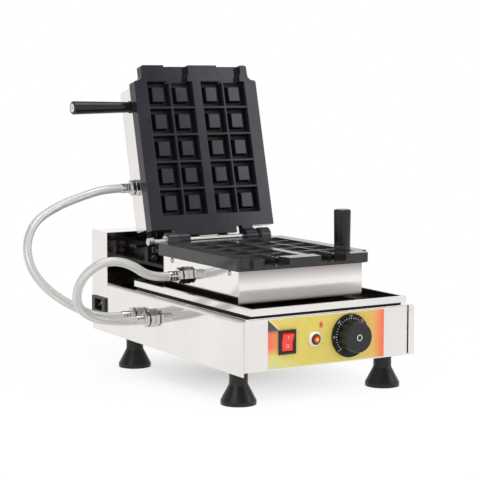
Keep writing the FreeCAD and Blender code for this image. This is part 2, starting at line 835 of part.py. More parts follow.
# Drip tray: a shallow pan with a turned-down hem on three sides.
def build_tray():
    x = "(base_mid_x - tray_width / 2)"
    y = f"({REAR} - tray_back - tray_depth)"
    floor = f"({TOP} + seam)"
    hem = "tray_hem"
    pan = box("tray_pan", f"{x} + {hem}", f"{y} + {hem}", floor, f"tray_width - 2 * {hem}",
              f"tray_depth - {hem}", "tray_lip_high - seam")
    rim = box("tray_rim", x, y, f"{TOP} + tray_lip_low", "tray_width", "tray_depth",
              "tray_lip_high - tray_lip_low")
    inside = box("tray_inside", f"{x} + {hem} + tray_sheet", f"{y} + {hem} + tray_sheet",
                 f"{floor} + tray_sheet", f"tray_width - 2 * {hem} - 2 * tray_sheet",
                 f"tray_depth - {hem} - 2 * tray_sheet", "tray_lip_high + overrun")
    rear = box("tray_rear_gap", f"{x} + {hem} + tray_sheet", f"{y} + tray_depth - 2 * tray_sheet",
               f"{TOP} + tray_rear_high", f"tray_width - 2 * {hem} - 2 * tray_sheet",
               "2 * tray_sheet + overrun", "tray_lip_high + overrun")
    slot_z = f"{TOP} - overrun"
    slot_height = "tray_lip_high - tray_sheet + overrun"
    slot = f"({hem} - tray_sheet)"
    slots = [
        box("hem_left", f"{x} + tray_sheet", f"{y} + tray_sheet", slot_z,
            slot, "tray_depth - 2 * tray_sheet", slot_height),
        box("hem_right", f"{x} + tray_width - {hem}", f"{y} + tray_sheet", slot_z,
            slot, "tray_depth - 2 * tray_sheet", slot_height),
        box("hem_front", f"{x} + tray_sheet", f"{y} + tray_sheet", slot_z,
            "tray_width - 2 * tray_sheet", slot, slot_height),
    ]
    node("drip_tray", cut("drip_tray", fuse("tray_block", pan, rim), inside, rear, fuse("hem_slots", *slots)))


def frustum(mid_x, mid_y, low, high, low_half, high_half):
    """A four-sided block with sloping walls between two heights."""
    rings = []
    for z, (half_x, half_y) in ((low, low_half), (high, high_half)):
        corners = [
            FreeCAD.Vector(mid_x + sx * half_x, mid_y + sy * half_y, z)
            for sx, sy in ((-1, -1), (1, -1), (1, 1), (-1, 1), (-1, -1))
        ]
        rings.append(Part.makePolygon(corners))
    return Part.makeLoft(rings, True, True)


def cell_cutters(name):
    """The waffle cells of one plate: a sloping moat round a raised stud in each."""
    columns = int(val("cell_columns"))
    rows = int(val("cell_rows"))
    pitch_x = val("(waffle_width + cell_ridge) / cell_columns")
    pitch_y = val(f"({WAFFLE_LENGTH} + cell_ridge) / cell_rows")
    ridge = val("cell_ridge")
    half = ((pitch_x - ridge) / 2, (pitch_y - ridge) / 2)
    depth = val("cell_depth")
    over = val("overrun")
    slope = math.tan(math.radians(val("cell_draft")))
    stud_slope = math.tan(math.radians(val("stud_draft")))
    stud_half = (val("stud_width / 2"), val("stud_length / 2"))
    stud_rise = val("cell_depth - stud_drop")
    floor = [side - depth * slope for side in half]
    mouth = [side + over * slope for side in half]
    root = [side + stud_rise * stud_slope for side in stud_half]
    front = val("-pin_setback - plate_depth + waffle_front")
    cutters = []
    for side in (-1, 1):
        start = side * val("(waffle_bar + waffle_width) / 2") - (columns - 1) * pitch_x / 2
        for column in range(columns):
            for row in range(rows):
                x = start + column * pitch_x
                y = front + half[1] + row * pitch_y
                pocket = frustum(x, y, -depth, over, floor, mouth)
                stud = frustum(x, y, -depth, -depth + stud_rise, root, stud_half)
                cutters.append(pocket.cut(stud))
    item = doc.addObject("Part::Feature", name)
    item.Shape = Part.makeCompound(cutters)
    return item


# One cast plate, drawn face up with the hinge pin's line at the origin.
def plate_casting(name, lugs, webs, bore_fit):
    half = "plate_width / 2"
    tab = "tab_width / 2"
    rear = "-pin_setback"
    front = "(-pin_setback - plate_depth)"
    nose = "(-pin_setback - plate_depth - tab_depth)"
    deck = padded(
        name + "_deck",
        "XY_Plane",
        [
            (f"-{half}", rear),
            (f"-{half}", front),
            (f"-{tab}", front),
            (f"-{tab}", nose),
            (tab, nose),
            (tab, front),
            (half, front),
            (half, rear),
        ],
        "tab_thick",
    )
    upright = lambda edge: abs(edge.Vertexes[0].Z - edge.Vertexes[-1].Z) > SNAP
    round_edges(
        deck, "tab_fillet",
        lambda edge, mid: upright(edge) and at(mid.y, front) and at(abs(mid.x), tab),
    )
    round_edges(
        deck, "plate_round",
        lambda edge, mid: upright(edge) and (at(mid.y, nose) or at(abs(mid.x), half)) and not at(mid.y, rear),
    )
    place(deck, z="-tab_thick")
    slab = padded(
        name + "_slab",
        "XY_Plane",
        [(f"-{half}", rear), (f"-{half}", front), (half, front), (half, rear)],
        "plate_thick - tab_thick",
    )
    round_edges(slab, "plate_round", lambda edge, mid: upright(edge) and at(mid.y, front))
    place(slab, z="-plate_thick")
    rim_side = "(casing_side_inset + casing_sheet + snug)"
    rim_end = "(casing_inset + casing_sheet + snug)"
    rim = cut(
        name + "_rim",
        box(name + "_rim_outer", f"-{half} + {rim_side}", f"{front} + {rim_end}", "-plate_thick - rim_depth",
            f"plate_width - 2 * {rim_side}", f"plate_depth - 2 * {rim_end}", "rim_depth"),
        box(name + "_rim_inner", f"-{half} + {rim_side} + rim_thick", f"{front} + {rim_end} + rim_thick",
            "-plate_thick - rim_depth - overrun", f"plate_width - 2 * {rim_side} - 2 * rim_thick",
            f"plate_depth - 2 * {rim_end} - 2 * rim_thick", "rim_depth + overrun"),
    )
    knuckles = []
    for index, (start, width) in enumerate(lugs):
        knuckles.append(rod(f"{name}_knuckle_{index}", "X", start, "0", "plate_gap / 2",
                            "knuckle_radius", width))
        knuckles.append(box(f"{name}_arm_{index}", start, "-pin_setback - rim_thick",
                            "plate_gap / 2 - knuckle_radius", width, "pin_setback + rim_thick",
                            "knuckle_radius - plate_gap / 2"))
    for index, (start, width) in enumerate(webs):
        knuckles.append(box(f"{name}_web_{index}", start, "-pin_setback - rim_thick",
                            "plate_gap / 2 - knuckle_radius", width,
                            "pin_setback + rim_thick - pin_radius - web_clear", "knuckle_radius - plate_gap / 2"))
    block = fuse(name + "_block", deck, slab, rim, *knuckles)
    bore = rod(name + "_pin_bore", "X", f"-{half}", "0", "plate_gap / 2",
               f"pin_radius + {bore_fit}", "plate_width")
    recesses = []
    spouts = []
    for index, side in enumerate(("-waffle_bar / 2 - waffle_width", "waffle_bar / 2")):
        recesses.append(
            box(f"{name}_recess_{index}", side, f"{front} + waffle_front", "-ridge_drop",
                "waffle_width", WAFFLE_LENGTH, "ridge_drop + overrun")
        )
        inner_y = f"({front} + waffle_front + cell_ridge)"
        middle = f"({side} + spout_inset + spout_mouth / 2)"
        mouth_y = f"{nose} + tab_depth / 2"
        root_y = f"{nose} + tab_depth * 3 / 4"
        spout = padded(
            f"{name}_spout_{index}",
            "XY_Plane",
            [
                (f"{middle} - spout_root / 2", inner_y),
                (f"{middle} - spout_root / 2", root_y),
                (f"{middle} - spout_mouth / 2", mouth_y),
                (f"{middle} - spout_mouth / 2", f"{nose} - overrun"),
                (f"{middle} + spout_mouth / 2", f"{nose} - overrun"),
                (f"{middle} + spout_mouth / 2", mouth_y),
                (f"{middle} + spout_root / 2", root_y),
                (f"{middle} + spout_root / 2", inner_y),
            ],
            "spout_depth + overrun",
        )
        round_edges(
            spout, "spout_round",
            lambda edge, mid: upright(edge) and (at(mid.y, mouth_y) or at(mid.y, root_y)),
        )
        place(spout, z="-spout_depth")
        spouts.append(spout)
    shaped = cut(name + "_cells", block, cell_cutters(name + "_cell_forms"))
    return cut(name, shaped, group(name + "_recesses", *recesses), group(name + "_spouts", *spouts), bore)


# Folded casing behind a plate; rise is +1 above the plate and -1 below it.
def casing(name, opening, rise, height, fixings):
    sign = "+" if rise > 0 else "-"
    shells = []
    for part_name, wall, lip in (("outer", "0", "0"), ("inner", "casing_sheet", "overrun")):
        near = f"({opening} {'-' if rise > 0 else '+'} {lip})"
        far = f"({opening} {sign} ({height} - {wall}))"
        shell = padded(
            f"{name}_{part_name}",
            "YZ_Plane",
            [
                (f"{CASING_REAR} - {wall}", near),
                (f"{CASING_REAR} - {wall}", far),
                (f"{CASING_FRONT} + {wall}", far),
                (f"{CASING_FRONT} + {wall}", near),
            ],
            f"{CASING_WIDTH} - 2 * {wall}",
        )
        round_edges(
            shell, f"casing_round - {wall}",
            lambda edge, mid: at(mid.z, far) and abs(edge.Vertexes[0].X - edge.Vertexes[-1].X) > SNAP,
        )
        place(shell, f"{CASING_LEFT} + {wall}")
        shells.append(shell)
    hole = rod(name + "_gland_hole", "X", f"{CASING_LEFT} - overrun", GLAND_Y,
               f"{opening} {sign} casing_gland_drop", "gland_thread_radius + gland_fit",
               "casing_sheet + 2 * overrun")
    return cut(name, shells[0], shells[1], hole, *fixings)


def screw_places(opening, sign):
    """Two screws near the plate on the left and on the right of a casing."""
    z = f"{opening} {sign} casing_screw_drop"
    inset = "casing_screw_inset" if sign == "-" else "lid_screw_inset"
    ys = (f"{CASING_REAR} - {inset}", f"{CASING_FRONT} + {inset}")
    return [(side, y, z) for side in (-1, 1) for y in ys]


def screw_bores(name, opening, sign):
    bores = []
    for index, (side, y, z) in enumerate(screw_places(opening, sign)):
        edge = CASING_LEFT if side < 0 else CASING_RIGHT
        bores.append(rod(f"{name}_screw_bore_{index}", "X", f"{edge} - 2 * casing_screw_length", y, z,
                         "casing_screw_radius + snug", "4 * casing_screw_length"))
    return bores


def casing_screws(name, opening, sign):
    screws = []
    for index, (side, y, z) in enumerate(screw_places(opening, sign)):
        axis, edge = ("-X", CASING_LEFT) if side < 0 else ("X", CASING_RIGHT)
        back = f"{edge} + casing_screw_length" if side < 0 else f"{edge} - casing_screw_length"
        screws.append(
            fuse(
                f"{name}_{index}",
                rod(f"{name}_{index}_head", axis, edge, y, z,
                    "casing_screw_head_radius", "casing_screw_head"),
                rod(f"{name}_{index}_shank", axis, back, y, z, "casing_screw_radius",
                    "casing_screw_length + casing_screw_head / 2"),
            )
        )
    return screws


def tube(name, points, radius, bend_share=ARC_SHARE):
    """A round tube along straight runs joined by tangent arcs."""
    spots = [FreeCAD.Vector(*point) for point in points]
    edges = []
    radii = []
    start = spots[0]
    for before, corner, after in zip(spots, spots[1:], spots[2:]):
        arrive = (corner - before).normalize()
        leave = (after - corner).normalize()
        half_turn = arrive.getAngle(leave) / 2
        setback = bend_share * min((corner - before).Length, (after - corner).Length)
        bend = setback / math.tan(half_turn)
        radii.append(bend)
        first = corner - arrive * setback
        last = corner + leave * setback
        inward = (leave - arrive).normalize()
        middle = corner + inward * (bend / math.cos(half_turn) - bend)
        edges.append(Part.LineSegment(start, first).toShape())
        edges.append(Part.Arc(first, middle, last).toShape())
        start = last
    edges.append(Part.LineSegment(start, spots[-1]).toShape())
    path = Part.Wire(edges)
    ring = Part.Wire([Part.Circle(spots[0], spots[1] - spots[0], radius).toShape()])
    item = doc.addObject("Part::Feature", name)
    item.Shape = path.makePipeShell([ring], True, True)
    expected = math.pi * radius**2 * path.Length
    print(f"{name}: length {path.Length:.1f}, smallest bend {min(radii):.1f}, "
          f"volume share {item.Shape.Volume / expected:.4f}")
    return item


def heater(name, opening, rise):
    """A hairpin of sheathed element lying just behind the plate."""
    z = val(opening) + rise * val("heater_radius + seam")
    left = val(f"{CASING_LEFT} + heater_inset")
    right = val(f"{CASING_RIGHT} - heater_inset")
    rear = val(f"{CASING_REAR} - heater_inset")
    front = val(f"{CASING_FRONT} + heater_inset")
    bend = val("heater_bend")
    points = [
        (left, rear, z),
        (left, front + bend, z),
        (left + bend, front, z),
        (right - bend, front, z),
        (right, front + bend, z),
        (right, rear, z),
    ]
    return tube(name, points, val("heater_radius"))


def insulation(name, opening, rise):
    """A fibre pad between the heater and the casing's far wall."""
    clear = "(casing_sheet + insulation_gap + casing_round)"
    low = f"{opening} - lower_casing_height + casing_sheet"
    high = f"{opening} + lid_casing_height - casing_sheet - insulation_thick"
    return box(name, f"{CASING_LEFT} + {clear}", f"{CASING_FRONT} + {clear}", low if rise < 0 else high,
               f"{CASING_WIDTH} - 2 * {clear}", f"{CASING_DEPTH} - 2 * {clear}", "insulation_thick")


def gland(name, x, y, z):
    """A conduit gland on a left-hand wall: thread, hexagon nut and ferrule."""
    return fuse(
        name,
        rod(name + "_thread", "X", x, y, z, "gland_thread_radius", "gland_thread_length"),
        hexagon(name + "_nut", "-X", x, y, z, "gland_nut_radius", "gland_nut_length"),
        rod(name + "_ferrule", "-X", f"{x} - gland_nut_length", y, z,
            "gland_ferrule_radius", "gland_ferrule_length"),
    )


# Lower half: fixed plate, casing and what they hold.
def build_lower_half():
    left_lug = ("-lug_inner - lug_width - lug_play - lower_lug_width", "lower_lug_width")
    right_lug = ("lug_inner + lug_width + right_lug_space", "lower_lug_width")
    plate = plate_casting("lower_cast", [left_lug, right_lug], [], "snug")
    place(plate, "base_mid_x", PIN_Y, LOWER_FACE)
    reach = "2 * overrun + casing_sheet + rim_thick"
    fixings = screw_bores("lower", LOWER_BACK, "-")
    for index, (x, z) in enumerate(carrier_bolt_places()):
        fixings.append(rod(f"lower_bolt_bore_{index}", "-Y", x, f"{CASING_REAR} + overrun", z,
                           "carrier_bolt_radius + snug", reach))
    node("lower_plate", cut("lower_plate", plate, *fixings))
    node("lower_casing", casing("lower_casing", LOWER_BACK, -1, "lower_casing_height", fixings))
    node("lower_casing_screws", group("lower_casing_screws", *casing_screws("lower_screw", LOWER_BACK, "-")))
    node("lower_heater", heater("lower_heater", LOWER_BACK, -1))
    node("lower_insulation", insulation("lower_insulation", LOWER_BACK, -1))
    node("lower_gland", gland("lower_gland", CASING_LEFT, GLAND_Y, f"{LOWER_BACK} - casing_gland_drop"))


# Hinge pin with head, washer and nut.
def build_hinge():
    left_end = "(base_mid_x - lug_inner - lug_width - lug_play - lower_lug_width)"
    right_end = "(base_mid_x + lug_inner + lug_width + right_lug_space + lower_lug_width)"
    node(
        "hinge_pin",
        fuse(
            "hinge_pin",
            rod("pin_body", "X", left_end, PIN_Y, PIN_Z, "pin_radius", f"{right_end} - {left_end} + seam"),
            rod("pin_thread", "-X", left_end, PIN_Y, PIN_Z, "thread_radius", "thread_length"),
            rod("pin_head", "X", f"{right_end} + seam", PIN_Y, PIN_Z, "pin_head_radius", "pin_head"),
        ),
    )
    node(
        "hinge_washer",
        cut(
            "hinge_washer",
            rod("washer_disc", "-X", left_end, PIN_Y, PIN_Z, "washer_radius", "washer_thick"),
            rod("washer_hole", "-X", f"{left_end} + overrun", PIN_Y, PIN_Z,
                "thread_radius + snug", "washer_thick + 2 * overrun"),
        ),
    )
    nut_x = f"{left_end} - thread_length + hinge_nut_length"
    node(
        "hinge_nut",
        cut(
            "hinge_nut",
            hexagon("nut_blank", "-X", nut_x, PIN_Y, PIN_Z, "hinge_nut_radius", "hinge_nut_length"),
            rod("nut_hole", "-X", f"{nut_x} + overrun", PIN_Y, PIN_Z,
                "thread_radius + snug", "hinge_nut_length + 2 * overrun"),
        ),
    )


CARRIER_TOP = f"({LOWER_BACK} - carrier_drop)"
CARRIER_LOW = f"({CARRIER_TOP} - carrier_height)"


def carrier_bolt_places():
    """The four bolts at each end of the carrier, as x and z."""
    low = f"{CARRIER_LOW} + carrier_bolt_inset / 2 + carrier_web"
    high = f"{CARRIER_TOP} - carrier_bolt_inset / 2"
    return [
        (f"base_mid_x + {side} * (carrier_width / 2 - carrier_bolt_inset)", z)
        for side in (-1, 1)
        for z in (low, high)
    ]


# Welded carrier that holds the lower half off the column, with the lid's stops.
def build_carrier():
    left = "(base_mid_x - carrier_width / 2)"
    span = f"({REAR} - {CASING_REAR} - seam)"
    stop_y = f"({PIN_Y} + stop_back)"
    plates = [
        box("carrier_front", left, f"{CASING_REAR} + seam", CARRIER_LOW,
            "carrier_width", "carrier_flange", "carrier_height"),
        box("carrier_back", left, f"{REAR} - carrier_flange", CARRIER_LOW,
            "carrier_width", "carrier_flange", "carrier_height"),
        box("carrier_web_sheet", left, f"{CASING_REAR} + seam", CARRIER_LOW,
            "carrier_width", span, "carrier_web"),
        box("stop_bar", left, f"{stop_y} - stop_bar_depth / 2", f"{CARRIER_TOP} - stop_bar_thick",
            "carrier_width", "stop_bar_depth", "stop_bar_thick"),
    ]
    for index, side in enumerate((-1, 1)):
        plates.append(
            box(f"carrier_rib_{index}", f"base_mid_x + {side} * carrier_rib_apart / 2 - carrier_rib / 2",
                f"{CASING_REAR} + seam", CARRIER_LOW, "carrier_rib", span, "carrier_height")
        )
    bores = []
    bolts = []
    for index, (x, z) in enumerate(carrier_bolt_places()):
        for end, axis, y, nut_y in (
            ("rear", "Y", f"({REAR} - carrier_flange)", f"{REAR} + sheet"),
            ("front", "-Y", f"({CASING_REAR} + seam + carrier_flange)", f"{CASING_REAR} - casing_sheet"),
        ):
            name = f"carrier_bolt_{end}_{index}"
            bores.append(rod(name + "_bore", axis, x, y, z,
                             "carrier_bolt_radius + snug", "carrier_flange + overrun"))
            pieces = [
                rod(name + "_shank", axis, x, y, z, "carrier_bolt_radius", "carrier_bolt_length"),
                hexagon(name + "_head", "-Y" if axis == "Y" else "Y", x, y, z,
                        "carrier_bolt_head_radius", "carrier_bolt_head"),
            ]
            threads_into_rim = end == "front" and z.startswith(CARRIER_TOP)
            if not threads_into_rim:
                pieces.append(hexagon(name + "_nut", axis, x, nut_y, z,
                                      "carrier_bolt_head_radius", "carrier_nut"))
            bolts.append(fuse(name, *pieces))
    node("iron_carrier", cut("iron_carrier", fuse("carrier_weld", *plates), group("carrier_bores", *bores)))
    node("carrier_bolts", group("carrier_bolts", *bolts))

    # The lid's rear wall slopes down to the rear when the lid is open.
    wall_y = "(-pin_setback - casing_inset)"
    reach = "(stop_back + stop_radius)"
    stop_z = f"({PIN_Z} - {wall_y} / sin(lid_open) + {reach} / tan(lid_open) - seam / sin(lid_open))"
    stops = [
        rod(f"stop_{index}", "Z", f"base_mid_x + {side} * stop_apart / 2", stop_y, CARRIER_TOP,
            "stop_radius", f"{stop_z} - {CARRIER_TOP}")
        for index, side in enumerate((-1, 1))
    ]
    node("lid_stops", group("lid_stops", *stops))


# Lid: the same casting turned over, with its casing, heater and left handle.
def build_lid():
    lugs = [("-lug_inner - lug_width", "lug_width"), ("lug_inner", "lug_width")]
    # a web joins the lugs; the plate is drawn face up, so its open end here is at the lid's right
    web = ("-lug_inner + web_gap", "2 * lug_inner - web_gap + lug_width / 2")
    plate = plate_casting("upper_plate_cast", lugs, [web], "running")
    over = f"placement(vector(base_mid_x; {PIN_Y}; {UPPER_FACE}); rotation(vector(0; 1; 0); 180))"
    plate.setExpression("Placement", expr(over))
    y = f"({CASING_FRONT} + lid_handle_back)"
    z = f"({UPPER_FACE} + lid_handle_rise)"
    fixings = screw_bores("upper", UPPER_BACK, "+")
    fixings.append(rod("lid_stud_bore", "X", f"{CASING_LEFT} - overrun", y, z,
                       "lid_handle_stud_radius + snug", "2 * overrun + casing_sheet + rim_thick"))
    lid_node("upper_plate", cut("upper_plate_drilled", plate, *fixings))
    lid_node("upper_casing", casing("upper_casing_fold", UPPER_BACK, 1, "lid_casing_height", fixings))
    lid_node("upper_casing_screws", *casing_screws("upper_screw", UPPER_BACK, "+"))
    lid_node("upper_heater", heater("upper_heater_element", UPPER_BACK, 1))
    lid_node("upper_insulation", insulation("upper_insulation_pad", UPPER_BACK, 1))
    lid_node("lid_gland",
             gland("lid_gland_fitting", CASING_LEFT, GLAND_Y, f"{UPPER_BACK} + casing_gland_drop"))

    start = f"({CASING_LEFT} - lid_handle_start)"
    stud_end = "(lid_handle_length - lid_handle_ring_depth)"
    grip = turned(
        "lid_grip_form",
        [
            ("lid_handle_stud_radius + snug", "0"),
            ("lid_handle_root_radius", "0"),
            ("lid_handle_end_radius", "lid_handle_length"),
            ("lid_handle_ring_radius + snug", "lid_handle_length"),
            ("lid_handle_ring_radius + snug", stud_end),
            ("lid_handle_stud_radius + snug", stud_end),
        ],
    )
    round_edges(grip, "lid_handle_round",
                lambda edge, mid: circle_at(edge, "lid_handle_end_radius", "lid_handle_length"))
    lid_node("lid_handle_grip", aim(grip, "-X", start, y, z))
    lid_node(
        "lid_handle_stud",
        rod("lid_stud_rod", "-X", f"{CASING_LEFT} + lid_handle_stud_hold", y, z, "lid_handle_stud_radius",
            f"lid_handle_stud_hold + lid_handle_start + {stud_end}"),
    )
    collar = cut(
        "lid_collar_ring",
        rod("lid_collar_disc", "-X", CASING_LEFT, y, z, "lid_handle_collar_radius", "lid_handle_start"),
        rod("lid_collar_hole", "-X", f"{CASING_LEFT} + overrun", y, z,
            "lid_handle_stud_radius + snug", "lid_handle_start + 2 * overrun"),
    )
    lid_node("lid_handle_collar", collar)
    cap = turned(
        "lid_cap_form",
        [
            ("lid_handle_ring_hole", "0"),
            ("lid_handle_ring_radius", "0"),
            ("lid_handle_ring_radius", "lid_handle_ring_depth"),
            ("lid_handle_ring_hole", "lid_handle_ring_depth"),
        ],
    )
    lid_node("lid_handle_cap", aim(cap, "-X", f"{start} - {stud_end}", y, z))


# Upright handle on a bracket at the lower half's right side.
def build_side_handle():
    x = "(base_mid_x + side_handle_x)"
    y = f"({CASING_FRONT} + side_handle_back)"
    shelf_z = f"({SIDE_LOW} + side_bracket_low)"
    wall = box("bracket_wall", CASING_RIGHT, f"{y} - side_bracket_width / 2", shelf_z,
               "side_bracket_thick", "side_bracket_width", "side_bracket_rise")
    shelf = box("bracket_shelf", CASING_RIGHT, f"{y} - side_bracket_width / 2", shelf_z,
                f"{x} - {CASING_RIGHT} + side_bracket_over", "side_bracket_width", "side_bracket_thick")
    hole = rod("bracket_hole", "Z", x, y, f"{shelf_z} - overrun", "side_handle_stud_radius + snug",
               "side_bracket_thick + 2 * overrun")
    node("side_handle_bracket", cut("side_handle_bracket", fuse("bracket_fold", wall, shelf), hole))
    foot = f"({shelf_z} + side_bracket_thick)"
    node(
        "side_handle_stud",
        fuse(
            "side_handle_stud",
            rod("side_stud_rod", "Z", x, y, f"{shelf_z} - side_handle_nut", "side_handle_stud_radius",
                "side_handle_nut + side_bracket_thick + side_handle_stud_hold"),
            hexagon("side_stud_nut", "-Z", x, y, shelf_z, "side_handle_nut_radius", "side_handle_nut"),
        ),
    )
    grip = turned(
        "side_grip_form",
        [
            ("side_handle_stud_radius + snug", "0"),
            ("side_handle_radius - side_handle_taper", "0"),
            ("side_handle_radius", "side_handle_length"),
            ("0", "side_handle_length"),
            ("0", "side_handle_stud_hold"),
            ("side_handle_stud_radius + snug", "side_handle_stud_hold"),
        ],
    )
    round_edges(grip, "side_handle_round",
                lambda edge, mid: circle_at(edge, "side_handle_radius", "side_handle_length"))
    shaped = fluted("side_handle_grip", grip, "side_handle_flutes",
                    "(side_handle_radius + side_handle_flute_radius / 2)", "side_handle_flute_radius",
                    "side_handle_length")
    node("side_handle_grip", aim(shaped, "Z", x, y, foot))


# Conduits and the two glands on the base's left wall.
def build_conduits():
    for key in ("front", "rear"):
        name = f"base_gland_{key}_fitting"
        node(f"base_gland_{key}_nut",
             gland(name, LEFT, f"({FRONT} + base_gland_{key})", f"({SIDE_LOW} + base_gland_height)"))
    node("lower_hose", tube("lower_hose", LOWER_HOSE_ROUTE, val("hose_radius")))
    node("upper_hose", tube("upper_hose", UPPER_HOSE_ROUTE, val("hose_radius")))


build_base(build_feet())
build_column()
build_power()
build_switch()
build_lamp()
build_thermostat()
build_tray()
build_lower_half()
build_hinge()
build_carrier()
build_lid()
build_side_handle()
build_conduits()
doc.recompute()

for item in doc.Objects:
    if "Invalid" in item.State or "Error" in item.State:
        raise RuntimeError(f"{item.Label} did not build: {item.State}")
for name, item in NODES.items():
    if item.Shape.isNull() or not item.Shape.isValid() or not item.Shape.Solids:
        raise RuntimeError(f"{name} has no sound solid")

os.makedirs("parts", exist_ok=True)
for name, item in NODES.items():
    item.Shape.exportStep(f"parts/{name}.step")
    print(f"{name}: {len(item.Shape.Solids)} solid(s), {item.Shape.Volume / 1000:.2f} ml")
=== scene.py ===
import math

import bmesh
import bpy
from mathutils import Matrix, Vector


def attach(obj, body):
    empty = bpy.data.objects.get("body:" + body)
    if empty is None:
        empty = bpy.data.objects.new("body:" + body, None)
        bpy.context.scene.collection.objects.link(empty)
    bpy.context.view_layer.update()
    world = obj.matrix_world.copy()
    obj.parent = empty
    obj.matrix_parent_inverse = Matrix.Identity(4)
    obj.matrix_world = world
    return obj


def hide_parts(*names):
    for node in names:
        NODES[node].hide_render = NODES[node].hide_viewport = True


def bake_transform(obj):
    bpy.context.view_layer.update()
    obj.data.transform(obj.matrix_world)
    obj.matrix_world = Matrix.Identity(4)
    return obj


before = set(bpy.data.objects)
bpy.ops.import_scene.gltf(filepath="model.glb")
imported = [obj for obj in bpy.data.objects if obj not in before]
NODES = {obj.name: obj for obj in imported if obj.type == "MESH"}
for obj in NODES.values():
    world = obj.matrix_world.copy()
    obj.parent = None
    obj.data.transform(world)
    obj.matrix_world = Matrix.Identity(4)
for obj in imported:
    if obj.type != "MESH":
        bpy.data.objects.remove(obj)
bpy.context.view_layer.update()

MM = 0.001

# Places shared with the part, in metres.
BASE_MID = 0.02975
LABEL_FACE = -0.2104
LABEL_X = (-0.06825, 0.11375)
LABEL_Z = (0.048, 0.112)
CONTROL_Z = 0.0815
SWITCH_X = -0.040
LAMP_X = 0.00275
LENS_RADIUS = 0.0066
DIAL = Vector((0.05775, LABEL_FACE - 0.0012, CONTROL_Z))
PIN = Vector((BASE_MID, 0.094, 0.184))
LID_OPEN = math.radians(104)
CASING_FRONT, CASING_REAR = -0.139, 0.073
CASING_SCREW_X = 0.098
TRAY_FRONT = -0.208
TRAY_HALF_WIDTH = 0.1225
TRAY_RIM = 0.0046

# The waffle field, measured from the hinge pin along its plate.
FIELD_HALF_WIDTH = 0.0835
FIELD_MID = 0.1365
FIELD_HALF_LENGTH = 0.1003
PLATE_FACE = 0.0004
STUD_DEPTH = 0.0038

# Heights on the lower casing's front between which the satin fades out and the painted shade comes in.
SATIN_Z = (0.128, 0.142)
PAINTED_SHADE_Z = (0.147, 0.168)


# Node helpers.
class Look:
    """A material under construction, with short ways to add its nodes."""

    def __init__(self, name, color, rough=0.4, metal=0.0, **sockets):
        self.material = bpy.data.materials.new(name)
        self.material.use_nodes = True
        self.tree = self.material.node_tree
        self.shader = self.tree.nodes["Principled BSDF"]
        self.set("Base Color", (*color, 1))
        self.set("Roughness", rough)
        self.set("Metallic", metal)
        for key, value in sockets.items():
            self.set(key.replace("_", " "), value)
        self.color = color

    def set(self, socket, value):
        self.shader.inputs[socket].default_value = value

    def add(self, kind, **settings):
        item = self.tree.nodes.new("ShaderNode" + kind)
        for key, value in settings.items():
            setattr(item, key, value)
        return item

    def join(self, source, target):
        self.tree.links.new(source, target)

    def feed(self, socket, source):
        """Link a node's output to the shader."""
        self.join(source, self.shader.inputs[socket])

    def fill(self, socket, value):
        """Set a node's socket to a number or colour, or link it."""
        if isinstance(value, (int, float)):
            socket.default_value = value
        elif isinstance(value, tuple):
            socket.default_value = (*value, 1)
        else:
            self.join(value, socket)

    def coords(self, kind="Object"):
        """Places in metres, or a tube's own coordinates."""
        return self.add("TexCoord").outputs[kind]

    def axes(self, source):
        split = self.add("SeparateXYZ")
        self.join(source, split.inputs["Vector"])
        return [split.outputs[axis] for axis in "XYZ"]

    def place(self, stretch=(1, 1, 1)):
        scale = self.add("Mapping")
        scale.inputs["Scale"].default_value = stretch
        self.join(self.coords(), scale.inputs["Vector"])
        return scale.outputs["Vector"]

    def noise(self, scale, detail, stretch=(1, 1, 1)):
        item = self.add("TexNoise")
        item.inputs["Scale"].default_value = scale
        item.inputs["Detail"].default_value = detail
        self.join(self.place(stretch), item.inputs["Vector"])
        return item.outputs["Fac"]

    def ramp(self, source, *stops):
        item = self.add("ValToRGB")
        elements = item.color_ramp.elements
        while len(elements) < len(stops):
            elements.new(0.5)
        for element, (position, color) in zip(elements, stops):
            element.position = position
            element.color = (*color, 1)
        self.join(source, item.inputs["Fac"])
        return item.outputs["Color"]

    def span(self, source, low, high, start=0.3, end=0.7, clamp=True):
        """Map the range from start to end onto the range from low to high."""
        item = self.add("MapRange", clamp=clamp)
        item.inputs["From Min"].default_value = start
        item.inputs["From Max"].default_value = end
        item.inputs["To Min"].default_value = low
        item.inputs["To Max"].default_value = high
        self.join(source, item.inputs["Value"])
        return item.outputs["Result"]

    def calc(self, operation, *values):
        item = self.add("Math", operation=operation)
        for socket, value in zip(item.inputs, values):
            self.fill(socket, value)
        return item.outputs["Value"]

    def times(self, first, second):
        return self.calc("MULTIPLY", first, second)

    def off(self, source, middle):
        """How far a value is from a middle, either way."""
        return self.calc("ABSOLUTE", self.calc("SUBTRACT", source, middle))

    def blend(self, amount, first, second):
        """Mix two colours; each is a link or a plain colour."""
        item = self.add("Mix", data_type="RGBA")
        sockets = (item.inputs[0], item.inputs[6], item.inputs[7])
        for socket, value in zip(sockets, (amount, first, second)):
            self.fill(socket, value)
        return item.outputs[2]

    def shade(self, source, low, high, start=0.3, end=0.7):
        """Vary the brightness of the look's colour over the surface."""
        dark = [c * low for c in self.color]
        light = [min(1, c * high) for c in self.color]
        self.feed("Base Color", self.ramp(source, (start, dark), (end, light)))

    def gloss(self, *span):
        self.feed("Roughness", self.span(*span))

    def relief(self, *layers, edge=0.0):
        """Stack bumps, each a height source with its strength and depth, over softened edges."""
        normal = None
        if edge:
            bevel = self.add("Bevel", samples=4)
            bevel.inputs["Radius"].default_value = edge
            normal = bevel.outputs["Normal"]
        for source, strength, depth in layers:
            bump = self.add("Bump")
            bump.inputs["Strength"].default_value = strength
            bump.inputs["Distance"].default_value = depth
            self.join(source, bump.inputs["Height"])
            if normal:
                self.join(normal, bump.inputs["Normal"])
            normal = bump.outputs["Normal"]
        self.feed("Normal", normal)


